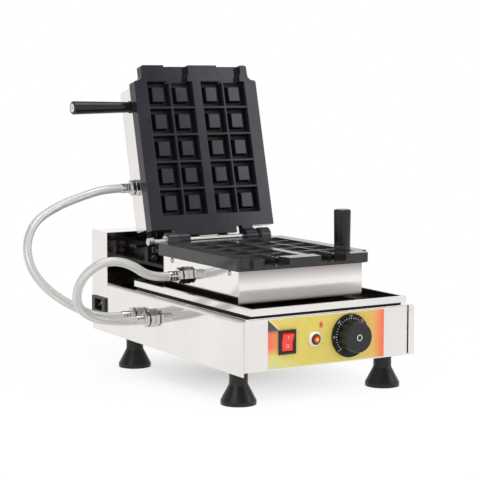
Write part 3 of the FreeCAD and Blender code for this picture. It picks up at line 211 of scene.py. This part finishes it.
# Materials.
def steel_look(name, color, low, high, grain):
    """Polished or plated metal with fine lines in it."""
    look = Look(name, color, metal=1.0)
    look.shade(look.noise(14, 4), 0.95, 1.02)
    lines = look.noise(60, 2, grain)
    look.gloss(lines, low, high, 0.25, 0.75)
    look.relief((look.noise(7, 1), 0.03, 0.004), (lines, 0.02, 0.0002), edge=0.0007)
    return look


def brushed_look():
    """Casing sheet: polished, with a satin finish low on its front and painted shade at the top, a
    darker colour standing in for the shade under the plate.
    """
    look = Look("brushed_stainless", (0.87, 0.838, 0.815))
    _, y, z = look.axes(look.coords())
    front = look.span(y, 1, 0, CASING_FRONT + 0.0002, CASING_FRONT + 0.0045)
    satin = look.times(front, look.span(z, 1, 0, *SATIN_Z))
    # Painted shade: the front darkens towards its top, under the plate.
    painted_shading = look.times(front, look.span(z, 0, 1, *PAINTED_SHADE_Z))
    lines = look.noise(60, 2, (1, 1, 30))
    polish = look.span(lines, 0.07, 0.13, 0.25, 0.75)
    look.feed("Roughness", look.calc("ADD", polish, look.times(satin, 0.75)))
    look.feed("Metallic", look.span(satin, 1.0, 0.5, 0, 1))
    plain = look.ramp(look.noise(14, 4), (0.3, (0.835, 0.804, 0.782)), (0.7, (0.887, 0.855, 0.831)))
    look.feed("Base Color", look.blend(painted_shading, plain, (0.27, 0.245, 0.23)))
    look.relief((look.noise(7, 1), 0.03, 0.004), (lines, 0.03, 0.0002), edge=0.0016)
    return look


def casting_look(name, lid):
    """Non-stick coating, with painted shade in the bottoms of the cells and lighter stud tops, partly
    wear and partly painted sheen.
    """
    # Painted light: both plates carry one coating, but the lower plate's copy is about twice as light
    # and the lid's is bluer.
    painted_shading = (1.0, 0.87, 1.42) if lid else (1.9, 1.86, 1.88)

    def shade(level):
        return tuple(level * part for part in painted_shading)

    look = Look(name, shade(0.015), Specular_IOR_Level=0.42)
    turn = Matrix.Rotation(LID_OPEN if lid else 0, 3, "X")
    local = look.add("Mapping")
    local.inputs["Location"].default_value = -(turn @ PIN)
    local.inputs["Rotation"].default_value = turn.to_euler()
    look.join(look.coords(), local.inputs["Vector"])
    x, y, z = look.axes(local.outputs["Vector"])
    depth = look.calc("SUBTRACT", z if lid else look.times(z, -1), PLATE_FACE)
    across = look.calc("LESS_THAN", look.calc("ABSOLUTE", x), FIELD_HALF_WIDTH)
    along = look.calc("LESS_THAN", look.off(y, -FIELD_MID), FIELD_HALF_LENGTH)
    inside = look.times(across, along)
    # Painted shade: the bottoms of the cells are near black.
    hollow_shade = look.times(inside, look.span(depth, 0, 0.85, 0.0046, 0.0085))
    # The stud tops are lighter: partly wear, partly painted sheen.
    stud = look.times(inside, look.span(look.off(depth, STUD_DEPTH), 0.8, 0, 0.0002, 0.0007))
    grain = look.ramp(look.noise(22, 4), (0.3, shade(0.012)), (0.7, shade(0.017)))
    wear_and_sheen = look.blend(stud, grain, shade(0.026))
    look.feed("Base Color", look.blend(hollow_shade, wear_and_sheen, shade(0.001)))
    fine = look.span(look.noise(60, 5), 0.10, 0.18)
    look.feed("Roughness", look.calc("ADD", fine, look.times(hollow_shade, 0.5)))
    look.relief((look.noise(30, 2), 0.03, 0.001), (look.noise(480, 4), 0.04, 0.0003), edge=0.0012)
    return look


def tray_look():
    """Bright rim round a dark pan."""
    look = Look("rimmed_tray", (0.82, 0.80, 0.785), Specular_IOR_Level=0.25)
    x, y, _ = look.axes(look.coords())
    pan = look.times(
        look.calc("LESS_THAN", look.off(x, BASE_MID), TRAY_HALF_WIDTH - TRAY_RIM),
        look.calc("GREATER_THAN", y, TRAY_FRONT + TRAY_RIM),
    )
    rim = look.ramp(look.noise(14, 4), (0.3, (0.78, 0.765, 0.75)), (0.7, (0.84, 0.82, 0.80)))
    pan_color = look.ramp(
        look.noise(18, 4, (4, 1, 1)),
        (0.3, (0.006, 0.0045, 0.004)),
        (0.75, (0.020, 0.014, 0.012)),
    )
    look.feed("Base Color", look.blend(pan, rim, pan_color))
    look.feed("Metallic", look.calc("SUBTRACT", 1, pan))
    streaks = look.span(look.noise(60, 2, (40, 1, 1)), 0.0, 0.08, 0.25, 0.75)
    look.feed("Roughness", look.calc("ADD", streaks, look.span(pan, 0.08, 0.34, 0, 1)))
    look.relief((look.noise(7, 1), 0.03, 0.004), edge=0.0007)
    return look


def plastic_look(name, color, low, high, grit, bump=0.12, **sockets):
    """Moulded, painted or printed surface with a fine grit."""
    look = Look(name, color, **sockets)
    look.shade(look.noise(40, 3), 0.85, 1.18)
    look.gloss(look.noise(120, 4), low, high)
    look.relief((look.noise(grit, 2), bump, 0.00015), edge=0.0006)
    return look


def lamp_look():
    """A dark red lens with a bright amber middle."""
    look = Look("amber_lens", (0.75, 0.10, 0.015), rough=0.12, Specular_IOR_Level=0.3,
                Emission_Strength=0.3)
    flat = look.add("VectorMath", operation="MULTIPLY")
    flat.inputs[1].default_value = (1, 0, 1)
    look.join(look.coords(), flat.inputs[0])
    middle = look.add("VectorMath", operation="DISTANCE")
    middle.inputs[1].default_value = (LAMP_X, 0, CONTROL_Z)
    look.join(flat.outputs["Vector"], middle.inputs[0])
    reach = look.span(middle.outputs["Value"], 0, 1, 0, LENS_RADIUS)
    wave = look.times(look.calc("SUBTRACT", look.noise(420, 2), 0.5), 0.10)
    colors = look.ramp(
        look.calc("ADD", reach, wave),
        (0.16, (1.0, 0.55, 0.14)),
        (0.34, (0.70, 0.14, 0.02)),
        (0.52, (0.42, 0.06, 0.010)),
        (0.72, (0.20, 0.020, 0.006)),
        (0.92, (0.05, 0.008, 0.005)),
    )
    look.feed("Base Color", colors)
    look.feed("Emission Color", colors)
    look.relief((look.noise(500, 2), 0.06, 0.0002), edge=0.0006)
    return look


def label_look():
    """A plain film: yellow, with warm ends, a dark corner and a red drop over the lamp."""
    look = Look("warm_film", (0.74, 0.61, 0.125), Coat_Weight=0.2, Coat_Roughness=0.2)
    x, _, z = look.axes(look.coords())
    across = look.span(x, 0, 1, *LABEL_X)
    up = look.span(z, 0, 1, *LABEL_Z)
    color = look.ramp(look.noise(24, 4), (0.3, (0.71, 0.575, 0.105)), (0.7, (0.76, 0.635, 0.135)))

    # Paler low at the left, with a red patch above.
    low_left = look.calc("ADD", look.times(across, 1.6), up)
    color = look.blend(look.span(low_left, 0.75, 0, 0.08, 0.5), color, (0.68, 0.68, 0.34))
    patch = look.times(look.span(across, 1, 0, 0.03, 0.17),
                       look.span(look.off(up, 0.57), 1, 0, 0.14, 0.32))
    color = look.blend(patch, color, (0.88, 0.17, 0.085))

    # Orange streaks and a red edge at the right.
    sweep = look.calc("ADD", across, look.times(look.calc("SUBTRACT", up, 0.5), 0.16))
    streaks = look.span(look.noise(9, 3, (5, 1, 26)), 0.35, 1.0, 0.35, 0.65)
    glow = look.times(look.span(sweep, 0, 0.85, 0.72, 0.97), streaks)
    color = look.blend(glow, color, (0.92, 0.36, 0.10))
    color = look.blend(look.span(across, 0, 0.95, 0.90, 0.985), color, (0.93, 0.15, 0.07))

    # A dark upper left corner with a pale slanting edge.
    slant = look.calc("SUBTRACT", 1.0, look.times(across, 2.55))
    corner = look.times(look.span(look.calc("SUBTRACT", slant, up), 0, 1, -0.004, 0.012),
                        look.span(up, 0, 1, 0.70, 0.79))
    edge = look.times(look.span(look.off(slant, up), 0.7, 0, 0.02, 0.06),
                      look.span(across, 1, 0, 0.09, 0.12))
    color = look.blend(edge, color, (0.80, 0.74, 0.52))
    color = look.blend(corner, color, (0.062, 0.050, 0.050))

    # The drop narrows upwards and is darker inside.
    wide = look.span(x, -1, 1, 0.0074, 0.0180, clamp=False)
    tall = look.span(z, -1, 1, 0.0945, 0.1045, clamp=False)
    waist = look.calc("ADD", look.times(look.calc("ADD", tall, 1), 1.6), 1)
    taper = look.calc("MAXIMUM", waist, 1)
    drop = look.calc("ADD", look.times(look.times(wide, wide), taper), look.times(tall, tall))
    color = look.blend(look.span(drop, 0.9, 0, 0.7, 1.25), color, (0.88, 0.24, 0.06))
    color = look.blend(look.span(drop, 0.9, 0, 0.15, 0.6), color, (0.56, 0.06, 0.012))

    look.feed("Base Color", color)
    look.gloss(look.noise(90, 3), 0.26, 0.38)
    look.relief((look.noise(700, 2), 0.05, 0.0001))
    return look


def hose_look():
    """Silver sleeve: lengthwise threads with two families of strands crossing at a slant."""
    look = Look("silver_braid", (0.62, 0.612, 0.595), metal=0.25, Coat_Weight=0.5, Coat_Roughness=0.18)
    around, along, _ = look.axes(look.coords("UV"))

    def strands(turns, pace):
        phase = look.calc("ADD", look.times(around, turns * 2 * math.pi),
                          look.times(along, pace * 2 * math.pi))
        return look.span(look.calc("SINE", phase), 0, 1, -1, 1)

    weave = look.calc("MAXIMUM", strands(14.0, 3.0), strands(14.0, -3.0))
    threads = look.times(strands(9.0, 0.12), strands(5.0, -0.07))
    mixed = look.calc("ADD", look.times(weave, 0.3), look.times(threads, 0.7))
    look.shade(mixed, 0.78, 1.16, 0.08, 0.85)
    look.gloss(threads, 0.44, 0.26, 0.0, 0.8)
    look.relief((weave, 0.05, 0.0003), (threads, 0.12, 0.0005), (look.noise(260, 3), 0.03, 0.0004))
    return look


STEEL = steel_look("polished_stainless", (0.835, 0.797, 0.772), 0.05, 0.10, (1, 1, 40))
STEEL_TOP = steel_look("polished_stainless_flat", (0.80, 0.79, 0.775), 0.10, 0.18, (40, 1, 1))
CASING_STEEL = steel_look("casing_stainless", (0.82, 0.79, 0.77), 0.06, 0.12, (1, 1, 30))
BRUSHED_CASING = brushed_look()
ZINC = steel_look("zinc_plate", (0.60, 0.60, 0.59), 0.16, 0.30, (8, 8, 8))
NICKEL = steel_look("nickel_plate", (0.66, 0.655, 0.65), 0.05, 0.11, (10, 10, 10))
BRASS = steel_look("plain_brass", (0.78, 0.60, 0.28), 0.2, 0.34, (10, 10, 10))
LOWER_CASTING = casting_look("black_nonstick", False)
UPPER_CASTING = casting_look("black_nonstick_lid", True)
TRAY = tray_look()
BLACK_PAINT = plastic_look("satin_black_paint", (0.012, 0.012, 0.012), 0.25, 0.40, 900, 0.2,
                           Specular_IOR_Level=0.35)
BLACK_PLASTIC = plastic_look("black_plastic", (0.014, 0.0135, 0.0135), 0.30, 0.44, 1500,
                             Specular_IOR_Level=0.4)
# Painted shade: the knob's skirt has a darker, less shiny copy of the black plastic.
SHADED_DIAL_PLASTIC = plastic_look("dial_plastic", (0.006, 0.006, 0.0062), 0.34, 0.46, 1500,
                            Specular_IOR_Level=0.2)
GRIP_PLASTIC = plastic_look("black_grip", (0.009, 0.009, 0.0095), 0.16, 0.28, 1100, 0.06,
                            Specular_IOR_Level=0.4)
RUBBER = plastic_look("black_rubber", (0.008, 0.0072, 0.0070), 0.26, 0.42, 800, 0.2,
                      Specular_IOR_Level=0.35)
WHITE_PLASTIC = plastic_look("white_plastic", (0.78, 0.77, 0.74), 0.30, 0.42, 1200, 0.05)
PRINT = plastic_look("white_print", (0.72, 0.72, 0.70), 0.45, 0.60, 1500, 0.05)
CREAM = plastic_look("cream_plastic", (0.86, 0.82, 0.74), 0.24, 0.36, 1200, 0.05)
FIBRE = plastic_look("fibre_felt", (0.75, 0.72, 0.64), 0.8, 0.95, 500, 0.6)
RED = plastic_look("red_switch", (0.78, 0.020, 0.012), 0.16, 0.28, 900, 0.03, Coat_Weight=0.4,
                   Emission_Color=(1.0, 0.05, 0.02, 1), Emission_Strength=0.12)
LAMP = lamp_look()
LABEL = label_look()
HOSE = hose_look()

NODE_LOOKS = {
    LOWER_CASTING: ["lower_plate"],
    UPPER_CASTING: ["upper_plate"],
    TRAY: ["drip_tray"],
    STEEL: ["base_shell", "right_side_panel", "front_panel", "column_shell", "column_back_cover",
            "side_handle_bracket"],
    STEEL_TOP: ["bottom_plate"],
    CASING_STEEL: ["upper_casing"],
    BRUSHED_CASING: ["lower_casing"],
    ZINC: ["foot_bolts", "carrier_bolts", "lower_casing_screws", "upper_casing_screws", "lower_heater",
           "upper_heater", "hinge_pin", "hinge_washer", "hinge_nut", "side_handle_stud",
           "lid_handle_stud", "thermostat_shaft"],
    CREAM: ["lamp_bezel"],
    NICKEL: ["lower_gland", "lid_gland", "base_gland_front_nut", "base_gland_rear_nut"],
    BRASS: ["inlet_blades"],
    BLACK_PAINT: ["iron_carrier"],
    BLACK_PLASTIC: ["switch_housing", "lamp_body", "thermostat_body", "power_inlet", "terminal_block",
                    "knob_grip", "lid_handle_collar"],
    SHADED_DIAL_PLASTIC: ["knob_skirt"],
    GRIP_PLASTIC: ["side_handle_grip", "lid_handle_grip"],
    RUBBER: ["foot_front_left", "foot_front_right", "foot_rear_left", "foot_rear_right", "lid_stops"],
    WHITE_PLASTIC: ["lid_handle_cap"],
    FIBRE: ["lower_insulation", "upper_insulation"],
    RED: ["switch_rocker"],
    LAMP: ["lamp_lens"],
    LABEL: ["control_label"],
    HOSE: ["lower_hose", "upper_hose"],
}
for look, names in NODE_LOOKS.items():
    for name in names:
        mesh = NODES[name].data
        mesh.materials.clear()
        mesh.materials.append(look.material)


# Mesh helpers.
def add_object(name, data):
    item = bpy.data.objects.new(name, data)
    bpy.context.scene.collection.objects.link(item)
    return item


def final_mesh(item):
    """A new mesh of an object's shape, with its modifiers or curve worked out."""
    bpy.context.view_layer.update()
    graph = bpy.context.evaluated_depsgraph_get()
    return bpy.data.meshes.new_from_object(item.evaluated_get(graph))


def finish_piece(name, mesh, look, body, smooth=35.0):
    """Make a mesh a piece with its look and body; a blended piece has no body here."""
    mesh.materials.append(look.material)
    mesh.shade_smooth()
    mesh.set_sharp_from_angle(angle=math.radians(smooth))
    item = add_object(name, mesh)
    if body:
        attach(item, body)
    return item


def surface(rings, closed_ends=True, uvs=None):
    """A skin over rings of points; every ring has as many points."""
    bm = bmesh.new()
    rows = [[bm.verts.new(p) for p in ring] for ring in rings]
    layer = bm.loops.layers.uv.new("along") if uvs else None
    count = len(rows[0])
    for i in range(len(rows) - 1):
        for j in range(count):
            k = (j + 1) % count
            face = bm.faces.new((rows[i][j], rows[i][k], rows[i + 1][k], rows[i + 1][j]))
            if layer:
                spots = ((i, j), (i, j + 1), (i + 1, j + 1), (i + 1, j))
                for loop, (row, column) in zip(face.loops, spots):
                    loop[layer].uv = (column / count, uvs[row])
    if closed_ends:
        bm.faces.new(list(reversed(rows[0])))
        bm.faces.new(rows[-1])
    bmesh.ops.recalc_face_normals(bm, faces=bm.faces)
    return bm


def to_mesh(name, *parts):
    """Gather mesh data into one mesh."""
    mesh = bpy.data.meshes.new(name)
    whole = bmesh.new()
    for part in parts:
        loose = bpy.data.meshes.new("loose")
        part.to_mesh(loose)
        part.free()
        whole.from_mesh(loose)
        bpy.data.meshes.remove(loose)
    whole.to_mesh(mesh)
    whole.free()
    return mesh


def ring(radius, height, count, turn=0.0):
    """Points round +Z; radius and height are in millimetres."""
    steps = [turn + 2 * math.pi * i / count for i in range(count)]
    return [Vector((radius * MM * math.cos(a), radius * MM * math.sin(a), height * MM)) for a in steps]


def lathe(profile, count):
    """Rows of radius and height turned about +Z."""
    return surface([ring(r, h, count) for r, h in profile])


def hexagon(radius, low, high, chamfer, turn):
    """A nut's outside with both ends eased."""
    inner, drop = radius - chamfer, chamfer * 0.6
    rows = [(inner, low), (radius, low + drop), (radius, high - drop), (inner, high)]
    return surface([ring(r, h, 6, turn) for r, h in rows])


def hoop(inner, outer, low, high, count):
    """A flat ring about +Z."""
    rows = [(inner, low), (outer, low), (outer, high), (inner, high), (inner, low)]
    return surface([ring(r, h, count) for r, h in rows], closed_ends=False)


def moved(bm, matrix):
    bmesh.ops.transform(bm, matrix=matrix, verts=bm.verts)
    return bm


def block(size, place):
    """A bar with eased edges; its size is in millimetres."""
    size = [length * MM for length in size]
    bm = bmesh.new()
    bmesh.ops.create_cube(bm, size=1.0)
    bmesh.ops.scale(bm, vec=size, verts=bm.verts)
    bmesh.ops.bevel(bm, geom=list(bm.edges), offset=min(size) * 0.2, segments=2, affect="EDGES")
    return moved(bm, place)


def upright(spot, upward, normal):
    """A place whose Y points upward along a surface and whose Z points out of it."""
    turn = Matrix((upward.cross(normal), upward, normal)).transposed().to_4x4()
    return Matrix.Translation(spot) @ turn


# Conduits: the route's points are the control points of a smooth line.
LOWER_ROUTE = [
    (-0.09625, 0.008, 0.1451),
    (-0.1235, 0.008, 0.1451),
    (-0.1624, -0.0032, 0.1699),
    (-0.2015, -0.0045, 0.1749),
    (-0.231, 0.005, 0.1508),
    (-0.2311, 0.0211, 0.1149),
    (-0.2028, 0.0323, 0.0917),
    (-0.162, 0.037, 0.0825),
    (-0.13325, 0.037, 0.0825),
]
UPPER_ROUTE = [
    (-0.09625, 0.15255, 0.25803),
    (-0.121, 0.15255, 0.25803),
    (-0.155, 0.150, 0.2505),
    (-0.197, 0.145, 0.2385),
    (-0.2385, 0.136, 0.2195),
    (-0.258, 0.125, 0.1885),
    (-0.256, 0.113, 0.154),
    (-0.237, 0.101, 0.125),
    (-0.205, 0.089, 0.101),
    (-0.166, 0.080, 0.0825),
    (-0.13325, 0.080, 0.0825),
]
HOSE_RADIUS = 0.00625
HOSE_SIDES = 28


def smooth_line(name, route):
    curve = bpy.data.curves.new(name, "CURVE")
    curve.dimensions = "3D"
    spline = curve.splines.new("NURBS")
    spline.points.add(len(route) - 1)
    for point, place in zip(spline.points, route):
        point.co = (*place, 1)
    spline.order_u = 3
    spline.use_endpoint_u = True
    spline.resolution_u = 14
    holder = add_object(name, curve)
    shape = final_mesh(holder)
    line = [v.co.copy() for v in shape.vertices]
    bpy.data.objects.remove(holder)
    bpy.data.meshes.remove(shape)
    return line


def hose(name, route):
    """A braided tube with a slightly uneven skin, its line and its length."""
    line = smooth_line(name + "_line", route)
    side = Vector((0, 0, 1))
    rings = []
    along = []
    length = 0.0
    for i, spot in enumerate(line):
        ahead = line[min(i + 1, len(line) - 1)] - line[max(i - 1, 0)]
        ahead.normalize()
        side = (side - ahead * side.dot(ahead)).normalized()
        other = ahead.cross(side)
        if i:
            length += (spot - line[i - 1]).length
        along.append(length / (2 * HOSE_RADIUS))
        row = []
        for j in range(HOSE_SIDES):
            a = 2 * math.pi * j / HOSE_SIDES
            radius = HOSE_RADIUS * (0.985 + 0.012 * math.sin(4 * a + length * 60))
            row.append(spot + (side * math.cos(a) + other * math.sin(a)) * radius)
        rings.append(row)
    mesh = to_mesh(name, surface(rings, uvs=along))
    return mesh, line, length


for name, route in (("lower_hose", LOWER_ROUTE), ("upper_hose", UPPER_ROUTE)):
    mesh, line, length = hose(name + "_braid", route)
    if name == "lower_hose":
        piece = finish_piece(name + "_braid", mesh, HOSE, "base", 80)
    else:
        piece = finish_piece(name + "_braid", mesh, HOSE, None, 80)
        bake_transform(piece)
    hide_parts(name)

# Glands: two hexagons with a black rubber ring between them, painted shade for the groove, and a
# crimped ferrule.
FERRULE = [
    (7.0, 12.6), (7.0, 13.6), (6.4, 13.9), (6.4, 15.2), (7.0, 15.5),
    (7.0, 18.4), (6.3, 18.7), (6.3, 19.5), (7.0, 19.8), (7.0, 22.6),
    (6.3, 22.9), (6.3, 23.7), (7.0, 24.0), (7.0, 27.4), (6.6, 28.0),
]
GROOVE_SHADE_RING = [(10.1, 6.8), (10.5, 7.2), (10.5, 8.4), (10.1, 8.8)]


def gland(name, node, place, body, turn):
    """A fitting that points to the left; turn sets where its flats are."""
    aim = Matrix.Translation(place) @ Matrix.Rotation(math.radians(-90), 4, "Y")
    parts = [
        hexagon(12.0, 0.0, 7.0, 0.9, turn),
        lathe([(9.4, 6.8), (9.4, 8.8)], 32),
        hexagon(11.4, 8.6, 13.0, 0.8, turn),
        lathe(FERRULE, 40),
    ]
    mesh = to_mesh(name, *(moved(part, aim) for part in parts))
    item = finish_piece(name, mesh, NICKEL, body, 30)
    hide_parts(node)
    # The black ring between the hexagons is painted shade for the groove.
    mesh = to_mesh(name + "_groove_shade", moved(lathe(GROOVE_SHADE_RING, 40), aim))
    finish_piece(name + "_groove_shade", mesh, RUBBER, body, 50)


gland("front_gland_fitting", "base_gland_front_nut", (-0.10525, 0.037, 0.0825), "base", 0.0)
gland("rear_gland_fitting", "base_gland_rear_nut", (-0.10525, 0.080, 0.0825), "base", 0.5)
gland("lower_gland_fitting", "lower_gland", (-0.06825, 0.008, 0.1451), "base", 0.2)
gland("lid_gland_fitting", "lid_gland", (-0.06825, 0.15255, 0.25803), "lid", 0.24)

# Dial: ticks, numbers and a plain ring. The skirt is a cone, in millimetres.
SKIRT_RADIUS, SKIRT_EDGE = 29.0, 1.4
SKIRT_RUN, SKIRT_RISE = 7.5, 2.0
DIAL_START, DIAL_TICK, TICKS_PER_NUMBER = -135, 9, 5
NUMBERS = ("0", "50", "100", "150", "200", "250", "300")


def on_dial(radius, degrees, lift):
    """A spot on the skirt's cone; the angle runs clockwise from the top, seen from the front."""
    angle = math.radians(degrees)
    height = SKIRT_EDGE + (SKIRT_RADIUS - radius) / SKIRT_RUN * SKIRT_RISE
    out = Vector((math.sin(angle), 0, math.cos(angle)))
    spot = DIAL + out * radius * MM - Vector((0, (height + lift) * MM, 0))
    tilt = math.atan2(SKIRT_RISE, SKIRT_RUN)
    normal = (Vector((0, -1, 0)) * math.cos(tilt) + out * math.sin(tilt)).normalized()
    upward = (out * math.cos(tilt) + Vector((0, 1, 0)) * math.sin(tilt)).normalized()
    return upright(spot, upward, normal)


def number_mesh(words):
    letters = bpy.data.curves.new("dial_number", "FONT")
    letters.body = words
    letters.size = 3.6 * MM
    letters.extrude = 0.06 * MM
    letters.align_x = "CENTER"
    letters.align_y = "CENTER"
    letters.resolution_u = 4
    holder = add_object("dial_number", letters)
    mesh = final_mesh(holder)
    bpy.data.objects.remove(holder)
    mesh.materials.clear()
    return mesh


ticks = []
for index in range((len(NUMBERS) - 1) * TICKS_PER_NUMBER + 1):
    major = index % TICKS_PER_NUMBER == 0
    size, radius = ((0.95, 2.3, 0.12), 23.4) if major else ((0.75, 1.8, 0.12), 23.2)
    ticks.append(block(size, on_dial(radius, DIAL_START + DIAL_TICK * index, 0.02)))
finish_piece("dial_ticks", to_mesh("dial_ticks", *ticks), PRINT, "knob")
for index, words in enumerate(NUMBERS):
    mesh = number_mesh(words)
    mesh.transform(on_dial(26.6, DIAL_START + DIAL_TICK * TICKS_PER_NUMBER * index, 0.04))
    finish_piece(f"dial_number_{index}", mesh, PRINT, "knob")
front_aim = Matrix.Translation(DIAL) @ Matrix.Rotation(math.radians(90), 4, "X")
mesh = to_mesh("dial_ring", moved(hoop(3.1, 4.2, 22.3, 22.5, 40), front_aim))
finish_piece("dial_ring", mesh, PRINT, "knob")

# Rocker marks: a bar and a ring, on the two halves of the rocker.
ROCKER_TILT = math.radians(9)
ROCKER_RISE = 3.6
ROCKER = (Matrix.Translation((SWITCH_X, LABEL_FACE + 0.002, CONTROL_Z))
          @ Matrix.Rotation(ROCKER_TILT, 4, "X"))


def on_rocker(half, along):
    """A spot just over one half of the rocker's face, in millimetres from its middle."""
    upward = Vector((0, -math.sin(ROCKER_TILT), half * math.cos(ROCKER_TILT)))
    normal = Vector((0, -math.cos(ROCKER_TILT), -half * math.sin(ROCKER_TILT)))
    spot = Vector((0, -ROCKER_RISE, 0)) + upward * along + normal * 0.05
    return ROCKER @ upright(spot * MM, upward, normal)


bar = block((0.9, 4.6, 0.14), on_rocker(1, 7.2))
finish_piece("rocker_bar", to_mesh("rocker_bar", bar), PRINT, "rocker")
zero = moved(hoop(1.75, 2.35, -0.05, 0.07, 36), on_rocker(-1, 4.7))
finish_piece("rocker_ring", to_mesh("rocker_ring", zero), PRINT, "rocker")


# Casing screws: domed heads with a cross-shaped recess.
def screw_head():
    dome = [(3.6, 0.0), (3.6, 0.5), (3.35, 1.05), (2.7, 1.5), (1.6, 1.74), (0.05, 1.8)]
    slot_place = Matrix.Translation((0, 0, 1.75 * MM))
    slots = [block(size, slot_place) for size in ((3.6, 0.8, 1.6), (0.8, 3.6, 1.6))]
    head = add_object("head", to_mesh("head", lathe(dome, 40)))
    tool = add_object("tool", to_mesh("tool", *slots))
    cut = head.modifiers.new("cross", "BOOLEAN")
    cut.object = tool
    cut.operation = "DIFFERENCE"
    cut.solver = "EXACT"
    cut.use_self = True
    mesh = final_mesh(head)
    for item in (head, tool):
        bpy.data.objects.remove(item)
    return mesh


HEAD = screw_head()
LID_SWING = Matrix.Translation(PIN) @ Matrix.Rotation(-LID_OPEN, 4, "X") @ Matrix.Translation(-PIN)


def screws(name, node, body, inset, z, swing):
    """Four heads on a casing's sides, as far in from its front as from its rear."""
    whole = bmesh.new()
    places = [(side, y) for side in (-1, 1) for y in (CASING_REAR - inset, CASING_FRONT + inset)]
    for index, (side, y) in enumerate(places):
        x = BASE_MID + side * CASING_SCREW_X
        aim = Matrix.Translation((x, y, z)) @ Matrix.Rotation(math.radians(90 * side), 4, "Y")
        copy = HEAD.copy()
        copy.transform(swing @ aim @ Matrix.Rotation(0.5 + 1.3 * index, 4, "Z"))
        whole.from_mesh(copy)
        bpy.data.meshes.remove(copy)
    item = finish_piece(name, to_mesh(name, whole), ZINC, body, 40)
    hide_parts(node)


screws("lower_screw_heads", "lower_casing_screws", "base", 0.026, 0.1616, Matrix.Identity(4))
screws("lid_screw_heads", "upper_casing_screws", "lid", 0.010, 0.2064, LID_SWING)


# Thread on the hinge pin's left end.
def thread():
    start, end, pitch = -0.05465, -0.07365, 0.00125
    root, depth = 3.02, 0.62
    steps, count = 152, 24
    rows = []
    for i in range(steps + 1):
        x = start + (end - start) * i / steps
        row = []
        for j in range(count):
            a = 2 * math.pi * j / count
            wave = ((start - x) / pitch - j / count) % 1.0
            radius = (root + depth * (1 - abs(2 * wave - 1))) * MM
            row.append(Vector((x, PIN.y + radius * math.cos(a), PIN.z + radius * math.sin(a))))
        rows.append(row)
    return surface(rows)


finish_piece("hinge_thread", to_mesh("hinge_thread", thread()), ZINC, "base", 25)

# Floor. For what the camera or a reflection sees, it fades to white away from the object.
floor_mesh = bpy.data.meshes.new("floor")
floor_mesh.from_pydata([(-9, -9, 0), (9, -9, 0), (9, 9, 0), (-9, 9, 0)], [], [(0, 1, 2, 3)])
floor = add_object("floor", floor_mesh)
paper = Look("pale_floor", (0.93, 0.93, 0.93), rough=0.9, Specular_IOR_Level=0.1)
paper.shade(paper.noise(3, 2), 0.99, 1.01)
floor_mesh.materials.append(paper.material)
rays = paper.add("LightPath")
seen = paper.calc("MAXIMUM", rays.outputs["Is Camera Ray"], rays.outputs["Is Glossy Ray"])
far = paper.add("VectorMath", operation="LENGTH")
paper.join(paper.coords(), far.inputs[0])
near_fade = paper.span(far.outputs["Value"], 0.36, 0.92, 0.02, 0.20)
far_fade = paper.span(far.outputs["Value"], 0, 0.08, 0.3, 0.8)
white = paper.add("Emission")
white.inputs["Strength"].default_value = 1.0
mixed = paper.add("MixShader")
paper.join(paper.times(paper.calc("ADD", near_fade, far_fade), seen), mixed.inputs[0])
paper.join(paper.shader.outputs["BSDF"], mixed.inputs[1])
paper.join(white.outputs["Emission"], mixed.inputs[2])
paper.join(mixed.outputs["Shader"], paper.tree.nodes["Material Output"].inputs["Surface"])

# White room: reflections darken towards the ceiling, and the light that falls on things is even.
EVEN_LIGHT = 0.62
world = bpy.data.worlds.new("studio")
bpy.context.scene.world = world
world.use_nodes = True
tree = world.node_tree
back = tree.nodes["Background"]
back.inputs["Color"].default_value = (1, 1, 1, 1)
rays = tree.nodes.new("ShaderNodeLightPath")
coords = tree.nodes.new("ShaderNodeTexCoord")
split = tree.nodes.new("ShaderNodeSeparateXYZ")
tree.links.new(coords.outputs["Generated"], split.inputs["Vector"])
ceiling = tree.nodes.new("ShaderNodeMapRange")
ceiling.interpolation_type = "SMOOTHSTEP"
for socket, value in (("From Min", 0.10), ("From Max", 0.62), ("To Min", 1.0), ("To Max", 0.30)):
    ceiling.inputs[socket].default_value = value
tree.links.new(split.outputs["Z"], ceiling.inputs["Value"])


def strength_for(ray, others, chosen):
    """One strength for a kind of ray, and another for all others."""
    pick = tree.nodes.new("ShaderNodeMix")
    tree.links.new(rays.outputs[ray], pick.inputs[0])
    for socket, value in zip(pick.inputs[2:4], (others, chosen)):
        if isinstance(value, float):
            socket.default_value = value
        else:
            tree.links.new(value, socket)
    return pick.outputs[0]


mirrored = strength_for("Is Glossy Ray", EVEN_LIGHT, ceiling.outputs["Result"])
tree.links.new(strength_for("Is Camera Ray", mirrored, 1.0), back.inputs["Strength"])


# Lamps and camera.
def softbox(name, place, aim, size, power):
    light = bpy.data.lights.new(name, "AREA")
    light.shape = "RECTANGLE"
    light.size, light.size_y = size
    light.energy = power
    item = add_object(name, light)
    item.location = place
    item.rotation_euler = (Vector(aim) - Vector(place)).to_track_quat("-Z", "Y").to_euler()


softbox("top", (0.1, -0.3, 1.9), (0, 0, 0.1), (1.8, 1.4), 20)
softbox("left", (-1.7, -0.9, 1.1), (0, 0, 0.2), (1.2, 1.4), 9)
softbox("right", (1.5, -1.3, 0.9), (0, 0, 0.15), (0.9, 1.2), 6)

camera = bpy.data.cameras.new("camera")
camera.lens = 112.1
camera.sensor_width = 36
camera.clip_end = 50
viewer = add_object("camera", camera)
viewer.location = (-1.06186, -1.80640, 0.41959)
viewer.rotation_euler = (math.radians(83.78), 0, math.radians(-30.81))
bpy.context.scene.camera = viewer
bpy.context.scene.view_settings.view_transform = "Standard"
